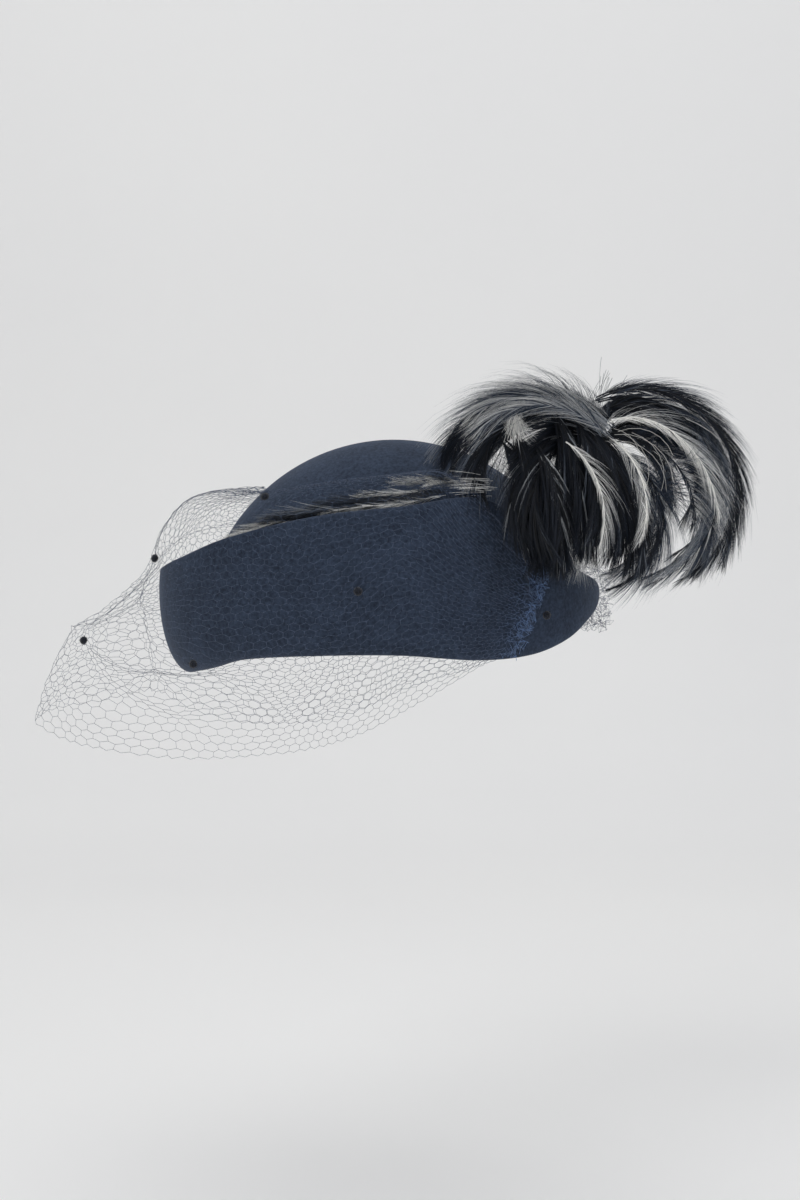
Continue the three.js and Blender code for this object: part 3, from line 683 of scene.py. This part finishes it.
def makePlume():
    rng = np.random.default_rng(plume["seed"])
    aft, fore, low, pale = Strands(), Strands(), Strands(), Strands()
    for row in plumeRows + dressingRows:
        first = True
        for look in [each for each in plumeLooks if each["part"] == row["name"]]:
            for copy in range(look["copies"]):
                bent = dict(row)
                if not first:
                    for key, share in plume["shiftShare"].items():
                        bent[key] += rng.uniform(-1, 1) * plume["shift"] * share
                    bent["length"] *= rng.uniform(plume["shrink"], 1.0)
                    bent["lift"] += rng.uniform(*plume["liftSpread"])
                    bent["out"] += rng.uniform(*plume["outSpread"])
                first = False
                path = curl(bent, plume["pathSteps"])
                frames = framesAlong(path, plume["sideLean"] * rng.uniform(*plume["leanSpread"]))
                if row["name"] in paleFeathers and look["outer"] not in (wisps, lateWisps):
                    target = pale
                elif row["name"].startswith(("low", "middle")):
                    target = low
                else:
                    target = aft if row["aft"] > 0 else fore
                look = {"quill": plume["quill"], "quillTone": plume["quillTone"], **look}
                addQuill(target, path, frames, look["quill"], look["quillTone"])
                addBarbs(target, path, frames, look["outer"], 1, rng)
                addBarbs(target, path, frames, look["inner"], -1, rng)
                if row in plumeRows:
                    # Bare stem down to the knot
                    t = np.linspace(0, 1, plume["stemSteps"])[:, None]
                    foot = np.array([knot["x"], knot["y"], knot["z"]], float)
                    stem = foot + (path[0] - foot) * t
                    stemFrames = framesAlong(stem, plume["sideLean"])
                    addQuill(target, stem, stemFrames, plume["stem"], plume["quillTone"])
    for row in hairRows:
        addHairs(pale, row, rng)
    for strands, name, material, slot in (
        (aft, "plume_aft_dark", plumeMaterial, "dark_feather"),
        (fore, "plume_fore_dark", plumeMaterial, "dark_feather"),
        (low, "plume_low_dark", plumeMaterial, "dark_feather"),
        (pale, "plume_pale", palePlumeMaterial, "pale_feather"),
    ):
        piece = strands.toPiece(name, material)
        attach(piece, "root")
        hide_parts("plume")


makePlume()
print("plume made")


# Small feathers laid flat in the crease, from the front to the plume
band = {
    "seed": 5, "backing": 1.6, "gap": 0.4, "shelfDown": 4, "shelfOut": 2.2, "shelfUp": 9, "steps": 30,
    "twins": 3, "rootSpread": (-2.5, 2.5), "tipSpread": (-2, 4), "heightSpread": (-0.1, 0.1),
    "lowest": 0.24, "heightStep": 0.04, "twinUp": 0.5, "quill": 0.16, "barbLength": 1.1, "tipTone": 0.06,
}
bandBarb = {
    "spread": 24, "spacing": 0.26, "width": 0.19, "lock": 3, "roll": 0.12, "ruffle": 0.2, "droop": 0.0,
    "rows": 4, "follow": 1.0,
}
bandSides = rowsOf("side sign streaks streakTone", ("outer", 1, 0.32, 0.14), ("inner", -1, 0.38, 0.16))
bandRows = rowsOf(
    "name root tip height width lift outer inner",
    ("fore cream", 66, 42, 1.5, 13, 1, 0.86, 0.66),
    ("fore brown", 74, 52, 3, 14, 3, 0.42, 0.56),
    ("dark", 82, 58, 1.5, 14, 0, 0.12, 0.2),
    ("navy", 88, 66, 5, 13, 2, 0.3, 0.35),
    ("long grey", 103, 71, 0, 8, 0, 0.84, 0.72),
    ("dark between", 106, 78, 4, 10, 1, 0.12, 0.1),
    ("white", 100, 79, 8, 8, 2, 0.84, 0.74),
    ("upper grey", 108, 91, 12, 10, 4, 0.7, 0.85),
    ("striped", 115, 102, 8, 12, 3, 0.9, 0.4),
)


def shelfPoint(angle, height):
    top = columnAt(brimRows, "top", angle)
    wallOut = columnAt(brimRows, "out", angle) - columnAt(brimRows, "lean", angle)
    low = around(angle, wallOut - brim["thickness"] - band["gap"], top - band["shelfDown"])
    high = onCrown(angle, top + band["shelfUp"], band["shelfOut"])
    return lerp(low, high, height)


def makeFeatherBand():
    rng = np.random.default_rng(band["seed"])
    strands = Strands()
    for row in bandRows:
        for twin in range(band["twins"]):
            root = row["root"] + rng.uniform(*band["rootSpread"]) * (twin > 0)
            tip = row["tip"] + rng.uniform(*band["tipSpread"]) * (twin > 0)
            height = band["lowest"] + row["height"] * band["heightStep"]
            height += rng.uniform(*band["heightSpread"]) * (twin > 0)
            angles = np.linspace(root, tip, band["steps"])
            path = np.array([shelfPoint(a, height) for a in angles])
            share = np.linspace(0, 1, band["steps"])
            path[:, 2] += band["backing"] + row["lift"] * share + band["twinUp"] * twin
            side = unit(np.array([shelfPoint(a, 0) - shelfPoint(a, 1) for a in angles]))
            along = unit(np.gradient(path, axis=0))
            side = unit(side - along * np.sum(side * along, 1, keepdims=True))
            frames = (along, side, np.cross(along, side))
            addQuill(strands, path, frames, band["quill"], row["inner"])
            for half in bandSides:
                tone = row[half["side"]]
                barb = {**bandBarb, "length": row["width"] * band["barbLength"], "tone": tone,
                        "tipTone": tone + band["tipTone"], "streaks": half["streaks"],
                        "streakTone": half["streakTone"]}
                addBarbs(strands, path, frames, barb, half["sign"], rng)
    piece = strands.toPiece("crease_feathers", cockFeather("dressedHackle", featherStops, 0.55))
    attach(piece, "root")
    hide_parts("feather_band")


makeFeatherBand()
print("crease feathers made")


# Veil: half sections of the net, from its edge on the crown to its hem, blended round the hat
veil = {
    "clearance": 1.5, "reach": 131, "tailReach": 158, "tailOut": 8.5, "frontPower": 3,
    "leaveFrom": 90, "leaveTo": 110, "sinkFrom": 100, "prow": 0.62, "prowFrom": 20, "prowTo": 55,
    "seed": 3, "columns": 104, "rows": 46, "thread": 0.082, "jitter": 0.09, "rough": 0.15, "foldRough": 2,
    "cut": (0.56, 0.14), "leastShare": 0.305,
}
# How the net crowds: towards the near and the far gather, and how it eases at the prow
crowd = {"near": 0.8, "far": 0.35, "ends": 0.07, "prowEase": 0.7, "prowWidth": 0.03, "steps": 400}
# The gathers, where the net is crumpled in a heap and slants forward to its foot; tone is the share
# of painted pale blue highlight on their threads
bunch = {
    "from": 106, "to": 128, "crumple": (0.9, 1.2, 1.5), "heap": 1.2, "tone": 0.46, "toneSpread": 0.5,
    "thread": 0.85, "slant": 9, "slantFrom": 96,
}
veilFront = rowsOf(
    "name out z",
    ("ridge", 4.5), ("shoulder", 18.5), ("brim", 26, 44), ("flare", 44.5, 27), ("knee", 62.5, 14.5),
    ("low", 72.5, -4), ("hem", 82.5),
)
veilSide = rowsOf(
    "name out z",
    ("ridge", -1), ("shoulder", 14.5), ("brim", 17.5, 60), ("flare", 17.5, 42), ("knee", 17, 24),
    ("low", 14, 4), ("hem", 12),
)
veilGather = rowsOf(
    "name out z",
    ("ridge", 14, 42), ("shoulder", 14.5, 37), ("brim", 15, 32), ("flare", 15, 27), ("knee", 14.5, 22),
    ("low", 13.5, 16), ("hem", 12.5),
)
gatherEdge = {"out": 13.5, "z": 47}
# Heights of the net's edge on the crown, of its ridge and of its shoulder
topRows = rowsOf(
    "angle edge ridge shoulder",
    (0, 85.5, 81, 65),
    (32, 82, 78.5, 66),
    (48, 81.5, 79, 69),
    (66, 84, 82.5, 75),
    (90, 88, 86.5, 79),
    (112, 89, 88, 82.5),
)
hemRows = rowsOf(
    "angle z",
    (-158, 18.5), (-131, 9), (-116, -6), (-100, -24), (-80, -44), (-60, -54), (-40, -55), (-20, -46),
    (0, -31), (30, -20), (60, -26), (78, -22.5), (92, -11), (104, -3.5), (131, 7),
)
dotRows = rowsOf(
    "angle down",
    (16, 0.782), (19, 0.445), (57, 0.265), (82, 0.622), (45, 0.832), (129, 0.597), (-40, 0.6),
    (-66, 0.28), (-60, 0.65), (-78, 0.55), (-102, 0.3), (-108, 0.8),
)


def smoothCurve(points, samples):
    # A rounded line through points whose bends stay inside them, cut into equal lengths
    ends = [2 * points[0] - points[1], *points, 2 * points[-1] - points[-2]]
    fine = []
    w = np.linspace(0, 1, veilGrid["between"], endpoint=False)[:, None]
    for i in range(1, len(ends) - 2):
        p0, p1, p2, p3 = ends[i - 1:i + 3]
        d0, d1, d2 = (np.sum((b - a) ** 2) ** 0.25 for a, b in ((p0, p1), (p1, p2), (p2, p3)))
        t1 = ((p1 - p0) / d0 - (p2 - p0) / (d0 + d1) + (p2 - p1) / d1) * d1
        t2 = ((p2 - p1) / d1 - (p3 - p1) / (d1 + d2) + (p3 - p2) / d2) * d1
        square = -3 * p1 + 3 * p2 - 2 * t1 - t2
        cube = 2 * p1 - 2 * p2 + t1 + t2
        fine.append(p1 + t1 * w + square * w ** 2 + cube * w ** 3)
    fine = np.vstack([*fine, points[-1][None]])
    run = np.concatenate([[0], np.cumsum(np.linalg.norm(np.diff(fine, axis=0), axis=1))])
    where = np.linspace(0, run[-1], samples)
    return np.stack([np.interp(where, run, fine[:, k]) for k in range(3)], 1)


def veilColumn(angle, samples):
    side = abs(angle)
    front = max(math.cos(math.radians(side)), 0) ** veil["frontPower"]
    outward = float(smoothStep(side, veil["leaveFrom"], veil["leaveTo"]))
    downward = float(smoothStep(side, veil["sinkFrom"], veil["reach"]))
    tail = veil["tailOut"] * float(smoothStep(-angle, veil["reach"], veil["tailReach"]))
    onDome = onCrown(angle, columnAt(topRows, "edge", side), veil["clearance"])
    onBrim = around(angle, gatherEdge["out"] + tail, gatherEdge["z"])
    points = [np.array([*lerp(onDome[:2], onBrim[:2], outward), lerp(onDome[2], onBrim[2], downward)])]
    for ahead, beside, gather in zip(veilFront, veilSide, veilGather):
        name = beside["name"]
        out = lerp(lerp(beside["out"], ahead["out"], front), gather["out"], outward) + tail
        if name == "hem":
            z = columnAt(hemRows, "z", angle)
        elif name in ("ridge", "shoulder"):
            z = lerp(columnAt(topRows, name, side), gather["z"], downward)
        else:
            z = lerp(lerp(beside["z"], ahead["z"], front), gather["z"], downward)
        point = around(angle, out, z)
        prow = veil["prow"] * max(math.cos(math.radians(angle)), 0) ** 2
        point[0] *= 1 - prow * float(smoothStep(out, veil["prowFrom"], veil["prowTo"]))
        points.append(point)
    return smoothCurve(points, samples)


# The smooth form on which the net is laid
veilGrid = {"around": 290, "down": 120, "between": 14}
veilAngles = np.linspace(-veil["tailReach"], veil["reach"], veilGrid["around"])
veilTable = np.array([veilColumn(a, veilGrid["down"]) for a in veilAngles])
veilRound, veilFall = np.gradient(veilTable, axis=0), np.gradient(veilTable, axis=1)
veilNormals = unit(np.cross(veilFall, veilRound))


def onVeil(table, angle, down):
    x = (np.asarray(angle, float) - veilAngles[0]) / (veilAngles[-1] - veilAngles[0])
    x = np.clip(x, 0, 1) * (table.shape[0] - 1)
    y = np.clip(np.asarray(down, float), 0, 1) * (table.shape[1] - 1)
    i, j = np.minimum(x.astype(int), table.shape[0] - 2), np.minimum(y.astype(int), table.shape[1] - 2)
    fx, fy = (x - i)[..., None], (y - j)[..., None]
    return (table[i, j] * (1 - fx) * (1 - fy) + table[i + 1, j] * fx * (1 - fy)
            + table[i, j + 1] * (1 - fx) * fy + table[i + 1, j + 1] * fx * fy)


def millineryNet():
    # Millinery net of fine twisted nylon, dyed navy: matt, letting a little light through, and
    # catching some blue light on dark felt, which on the near gather is a painted pale blue highlight
    material, tree = newMaterial("millineryNet")
    place = addNode(tree, "ShaderNodeTexCoord").outputs["Object"]
    twist = addNode(tree, "ShaderNodeTexNoise", {"Scale": scaleFor(net["twist"]), "Detail": 1},
                    {"Vector": place})
    ramp = addNode(tree, "ShaderNodeValToRGB", links={"Fac": twist.outputs["Fac"]})
    fillRamp(ramp, [(0.3, net["deep"]), (0.7, net["light"])])
    bunchedAndLit = addNode(tree, "ShaderNodeAttribute", {"attribute_name": "tone"})
    colour = addNode(tree, "ShaderNodeMix", {"data_type": "RGBA", 7: hexToLinear(net["bunchedAndLit"])},
                     {0: bunchedAndLit.outputs["Fac"], 6: ramp.outputs["Color"]})
    surface = addNode(tree, "ShaderNodeBsdfPrincipled", {
        "Roughness": 0.7, "Sheen Weight": 0.25, "Sheen Roughness": 0.4,
        "Sheen Tint": hexToLinear(net["sheen"]), "Alpha": net["cover"],
    }, {"Base Color": colour.outputs[2]})
    addNode(tree, "ShaderNodeOutputMaterial", links={"Surface": surface.outputs["BSDF"]})
    return material


# Cover is how much of what lies behind it the thread hides, since its fibres let some light through
# The pale blue of the bunched threads is a painted highlight, mixed in on the near gather only
net = {
    "deep": "#2f3848", "light": "#55637c", "bunchedAndLit": "#7b9ccf", "sheen": "#a3b1cc", "twist": 1.1111,
    "cover": 0.78,
}


# Creases, where the net is folded on itself and its threads crowd: points as (angle, down)
creaseRows = rowsOf(
    "name width pull points",
    ("ridge", 9, 0.88, [(3, 0.72), (14, 0.712), (20, 0.71), (24, 0.65), (23, 0.6)]),
    ("sweep", 10, 0.88, [(19, 0.81), (24, 0.865), (31, 0.915), (38, 0.924), (43, 0.89), (50, 0.85)]),
    ("upright", 16, 0.95, [(19.5, 0.53), (31.5, 0.68), (34.5, 0.78), (36, 0.87)]),
    ("over the brim", 10, 0.85, [(22, 0.43), (31, 0.395), (46, 0.365), (60, 0.33)]),
    ("far sweep", 9, 0.6, [(-12, 0.7), (-22, 0.8), (-36, 0.87)]),
)
crease = {"degree": 1.9, "height": 150, "fold": 1.1, "steps": 40}


def crowdCreases(angle, down):
    # Moves spots of the net towards the creases, and tells how far each lies in a fold
    spots = np.stack([angle * crease["degree"], down * crease["height"]], 1)
    fold = np.zeros(len(spots))
    for row in creaseRows:
        line = np.array(row["points"], float) * (crease["degree"], crease["height"])
        line = at(line, np.linspace(0, 1, crease["steps"]))
        gaps = line[None] - spots[:, None]
        nearest = np.argmin(np.sum(gaps ** 2, 2), 1)
        gap = gaps[np.arange(len(spots)), nearest]
        near = np.exp(-np.sum(gap ** 2, 1) / row["width"] ** 2)
        spots = spots + gap * (row["pull"] * near)[:, None]
        fold = np.maximum(fold, near ** 2)
    return spots[:, 0] / crease["degree"], spots[:, 1] / crease["height"], fold


def crowdEnds(u):
    # The columns of the net stand closer together towards each gather, and further apart at the prow
    ends = np.linspace(0, 1, crowd["steps"])
    middle = veil["tailReach"] / (veil["tailReach"] + veil["reach"])
    near = crowd["near"] * np.exp(-((1 - ends) / crowd["ends"]) ** 2)
    far = crowd["far"] * np.exp(-(ends / crowd["ends"]) ** 2)
    pace = 1 - near - far + crowd["prowEase"] * np.exp(-((ends - middle) / crowd["prowWidth"]) ** 2)
    run = np.concatenate([[0], np.cumsum(pace[1:] + pace[:-1])])
    return np.interp(u, ends, run / run[-1])


# Waves of the net in millimetres: each has its length in degrees round the hat, and how many
# turns or radians it makes from the net's upper edge to its hem
waves = {
    "pleat": 1.5, "pleatFrom": 92, "pleatTo": 122, "pleatTurns": 8, "pleatDegrees": 31,
    "slack": 1.2, "slackFrom": 0.1, "slackTo": 0.45, "slackTurns": 1.4, "slackDegrees": 23,
    "sway": 0.8, "swayDegrees": 9.0,
    "ripple": 0.4, "rippleDegrees": 5.3, "rippleDown": 4, "crossDown": 19, "crossDegrees": 17,
}


def netOffset(angle, down):
    # How far the net stands off its smooth form: pleats into each gather, slack waves at the front
    side = np.abs(angle)
    pleats = waves["pleat"] * smoothStep(side, waves["pleatFrom"], waves["pleatTo"])
    pleats = pleats * np.sin(2 * math.pi * (down * waves["pleatTurns"] + angle / waves["pleatDegrees"]))
    front = np.maximum(np.cos(np.radians(angle)), 0) ** 2
    front = front * smoothStep(down, waves["slackFrom"], waves["slackTo"])
    phase = 2 * math.pi * (angle / waves["slackDegrees"] + down * waves["slackTurns"])
    slack = waves["slack"] * front * np.sin(phase + waves["sway"] * np.sin(angle / waves["swayDegrees"]))
    ripple = waves["ripple"] * np.sin(angle / waves["rippleDegrees"] + waves["rippleDown"] * down)
    ripple = ripple * np.sin(down * waves["crossDown"] + angle / waves["crossDegrees"])
    return pleats + slack + ripple


# Slack thread makes the cells wider here and narrower there: its shifts in degrees and in
# fractions of the net's height
warp = {
    "angle": 0.9, "down": 0.007, "angleDegrees": 6.1, "angleDown": 11, "crossDown": 17, "crossDegrees": 13,
    "downDegrees": 4.7, "downDown": 13, "edge": 0.1,
}


def slackShift(angle, down):
    sideways = warp["angle"] * np.sin(angle / warp["angleDegrees"] + warp["angleDown"] * down)
    sideways = sideways * np.sin(warp["crossDown"] * down + angle / warp["crossDegrees"])
    fall = warp["down"] * np.sin(angle / warp["downDegrees"] - warp["downDown"] * down)
    fall = fall * smoothStep(down, 0, warp["edge"]) * smoothStep(1 - down, 0, warp["edge"])
    return sideways, fall


def makeVeil():
    rng = np.random.default_rng(veil["seed"])
    wide, tall = 1 / veil["columns"], 1 / (1.5 * veil["rows"] + 0.5)
    # Corners of the honeycomb on a half-cell lattice: column i at i/2 cells, row j at j/2 tall steps
    corners, links = {}, set()

    def corner(i, j):
        return corners.setdefault((i, j), len(corners))

    for row in range(veil["rows"]):
        odd = row % 2
        for column in range(veil["columns"] - odd):
            i, j = 2 * column + 1 + odd, 1 + 3 * row
            ring = [corner(i, j - 2), corner(i + 1, j - 1), corner(i + 1, j + 1), corner(i, j + 2),
                    corner(i - 1, j + 1), corner(i - 1, j - 1)]
            links.update(tuple(sorted((ring[k], ring[(k + 1) % 6]))) for k in range(6))
    spots = np.array(list(corners.keys()), float)
    side = np.abs(lerp(-veil["tailReach"], veil["reach"], spots[:, 0] * wide / 2))
    crush = smoothStep(side, bunch["from"], bunch["to"])
    shake = rng.normal(0, veil["jitter"], (len(spots), 2))
    u = np.clip((spots[:, 0] + shake[:, 0]) * wide / 2, 0, 1)
    u = crowdEnds(u)
    v = np.clip((spots[:, 1] + 1 + shake[:, 1]) * tall / 2, 0, 1)
    angle = lerp(-veil["tailReach"], veil["reach"], u)
    slackAngle, slackDown = slackShift(angle, v)
    slant = bunch["slant"] * v * smoothStep(angle, bunch["slantFrom"], veil["reach"])
    angle = angle + slackAngle * (1 - crush) - slant
    angle, v, fold = crowdCreases(angle, v + slackDown)
    points = onVeil(veilTable, angle, v)
    normals = unit(onVeil(veilNormals, angle, v))
    uneven = rng.normal(0, veil["rough"], len(points)) * (1 + veil["foldRough"] * fold)
    off = netOffset(angle, v) + crease["fold"] * fold + uneven
    off = off + np.abs(rng.normal(0, bunch["heap"], len(points))) * crush
    points = points + normals * off[:, None]
    points = points + rng.normal(0, 1, (len(points), 3)) * crush[:, None] * bunch["crumple"]
    pairs = np.array(sorted(links))
    a, b = points[pairs[:, 0]], points[pairs[:, 1]]
    heading = unit(b - a)
    bunchedAndLit = crush[pairs[:, 0]]
    thread = (veil["thread"] * lerp(1, bunch["thread"], bunchedAndLit))[:, None]
    across = unit(np.cross(heading, normals[pairs[:, 0]])) * thread
    upward = unit(np.cross(across, heading)) * thread
    # The bunched threads' tone mixes in a painted pale blue highlight
    tone = bunchedAndLit * np.clip(rng.normal(bunch["tone"], bunch["toneSpread"], len(pairs)), 0, 1)
    tone = tone * (angle[pairs[:, 0]] > 0)  # only the near gather catches the light
    strands = Strands()
    middle = np.stack([a, b], 1)
    strands.addTubes(middle, np.stack([across, across], 1), np.stack([upward, upward], 1),
                     np.repeat(tone[:, None], 2, axis=1), 4)
    piece = strands.toPiece("veil_net", millineryNet(), smooth=False)
    wide, high = veil["cut"]
    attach(piece, "root")
    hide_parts("veil")


makeVeil()
print("veil made")


def chenille():
    # Chenille: a ball of cut pile round a twisted core, black and quite matt
    material, tree = newMaterial("chenille")
    place = addNode(tree, "ShaderNodeTexCoord").outputs["Object"]
    pile = addNode(tree, "ShaderNodeTexNoise", {"Scale": scaleFor(dot["pile"]), "Detail": 1},
                   {"Vector": place})
    ramp = addNode(tree, "ShaderNodeValToRGB", links={"Fac": pile.outputs["Fac"]})
    fillRamp(ramp, [(0.35, dot["deep"]), (0.7, dot["light"])])
    bump = addNode(tree, "ShaderNodeBump", {"Strength": 0.8, "Distance": dot["pileHeight"] * mm},
                   {"Height": pile.outputs["Fac"]})
    surface = addNode(tree, "ShaderNodeBsdfPrincipled", {
        "Roughness": 1.0, "Specular IOR Level": 0.1, "Sheen Weight": 0.2, "Sheen Roughness": 0.6,
    }, {"Base Color": ramp.outputs["Color"], "Normal": bump.outputs["Normal"]})
    addNode(tree, "ShaderNodeOutputMaterial", links={"Surface": surface.outputs["BSDF"]})
    return material


dot = {
    "radius": 2.0, "squash": 0.82, "lift": 1.9, "seed": 8, "uneven": (0.9, 1.04), "hairs": 130,
    "hairLength": 0.75, "hairFoot": 0.92, "hairHalf": 0.11, "hairLean": 0.12, "shortest": 0.4,
    "pile": 0.625, "pileHeight": 0.4,
    "deep": "#0b0d11", "light": "#1d2230",
}


def makeDots():
    rng = np.random.default_rng(dot["seed"])
    material = chenille()
    for i, row in enumerate(dotRows):
        middle = onVeil(veilTable, row["angle"], row["down"])
        normal = unit(onVeil(veilNormals, row["angle"], row["down"]))
        middle = middle + normal * dot["lift"]
        bm = bmesh.new()
        bmesh.ops.create_icosphere(bm, subdivisions=3, radius=1)
        turn = Vector(normal).to_track_quat("Z", "Y").to_matrix()
        for vertex in bm.verts:
            size = dot["radius"] * rng.uniform(*dot["uneven"])
            vertex.co = vertex.co * size
            vertex.co.z *= dot["squash"]
        for face in bm.faces:
            face.smooth = True
        # Cut pile: short pointed hairs standing out of the ball
        for way in unit(rng.normal(0, 1, (dot["hairs"], 3))):
            base = Vector(way) * dot["radius"] * dot["hairFoot"]
            heading = Vector(way + rng.normal(0, dot["hairLean"], 3))
            tip = heading * (dot["radius"] + dot["hairLength"] * rng.uniform(dot["shortest"], 1))
            across = Vector(np.cross(way, rng.normal(0, 1, 3))).normalized() * dot["hairHalf"]
            corners = (base - across, base + across, tip)
            bm.faces.new([bm.verts.new((p.x, p.y, p.z * dot["squash"])) for p in corners])
        for vertex in bm.verts:
            vertex.co = (turn @ vertex.co + Vector(middle)) * mm
        mesh = meshOf(bm, f"chenille_dot_{i + 1:02d}")
        mesh.materials.append(material)
        piece = addObject(mesh.name, mesh)
        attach(piece, "root")
        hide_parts(f"veil_dot_{i + 1:02d}")


makeDots()
print("dots made")


# Studio: a pale sweep of paper and soft daylight
studio = {
    "floorZ": -262, "wallX": -1500, "front": 1600, "half": 2600, "wallHeight": 2600, "bend": 500,
    "steps": 40, "paper": "#f5f4f2", "paperShade": "#f1f0ef", "paperClouds": 666.67, "air": "#e9ecf0",
    "airStrength": 0.43, "aim": (0, 0, 30),
}


def matPaper():
    # Matt background paper: plain, barely uneven
    material, tree = newMaterial("backgroundPaper")
    place = addNode(tree, "ShaderNodeTexCoord").outputs["Object"]
    clouds = addNode(tree, "ShaderNodeTexNoise", {"Scale": scaleFor(studio["paperClouds"]), "Detail": 2},
                     {"Vector": place})
    ramp = addNode(tree, "ShaderNodeValToRGB", links={"Fac": clouds.outputs["Fac"]})
    fillRamp(ramp, [(0.2, studio["paperShade"]), (0.8, studio["paper"])])
    surface = addNode(tree, "ShaderNodeBsdfPrincipled", {"Roughness": 0.9, "Specular IOR Level": 0.2},
                      {"Base Color": ramp.outputs["Color"]})
    addNode(tree, "ShaderNodeOutputMaterial", links={"Surface": surface.outputs["BSDF"]})
    return material


def makeStudio():
    bm = bmesh.new()
    bmesh.ops.create_grid(bm, x_segments=studio["steps"], y_segments=1, size=0.5)
    run = studio["front"] - studio["wallX"]
    for vertex in bm.verts:
        t = 0.5 - vertex.co.x  # 0 at the front of the floor, 1 at the top of the wall
        along = t * (run + studio["wallHeight"])
        bend, floor = studio["bend"], run - studio["bend"]
        arc = bend * math.pi / 2
        if along < floor:
            x, z = studio["front"] - along, 0
        elif along < floor + arc:
            q = (along - floor) / bend
            x, z = studio["wallX"] + bend - bend * math.sin(q), bend - bend * math.cos(q)
        else:
            x, z = studio["wallX"], bend + along - floor - arc
        vertex.co = Vector((x, vertex.co.y * 2 * studio["half"], z + studio["floorZ"])) * mm
    for face in bm.faces:
        face.smooth = True
    mesh = meshOf(bm, "paper_sweep")
    mesh.materials.append(matPaper())
    sweep = addObject("paper_sweep", mesh)


# Places and sizes of the lights are in metres
lights = rowsOf(
    "name place size power colour",
    ("key_softbox", (1.5, -1.1, 1.5), 1.4, 17.4, "#ffffff"),
    ("fill_softbox", (1.3, 1.6, 0.9), 1.6, 11, "#f4f7ff"),
    ("top_softbox", (0.0, 0.0, 2.1), 2.2, 17.3, "#ffffff"),
)


def makeLights():
    for light in lights:
        data = bpy.data.lights.new(light["name"], "AREA")
        data.energy = light["power"]
        data.shape = "SQUARE"
        data.size = light["size"]
        data.color = hexToLinear(light["colour"])[:3]
        lamp = addObject(light["name"], data)
        lamp.location = light["place"]
        heading = Vector(studio["aim"]) * mm - lamp.location
        lamp.rotation_euler = heading.to_track_quat("-Z", "Y").to_euler()
    world = bpy.data.worlds.new("studio")
    bpy.context.scene.world = world
    world.use_nodes = True
    background = world.node_tree.nodes["Background"]
    background.inputs["Color"].default_value = hexToLinear(studio["air"])
    background.inputs["Strength"].default_value = studio["airStrength"]
    bpy.context.scene.view_settings.view_transform = "Standard"


makeStudio()
makeLights()
print("studio made")
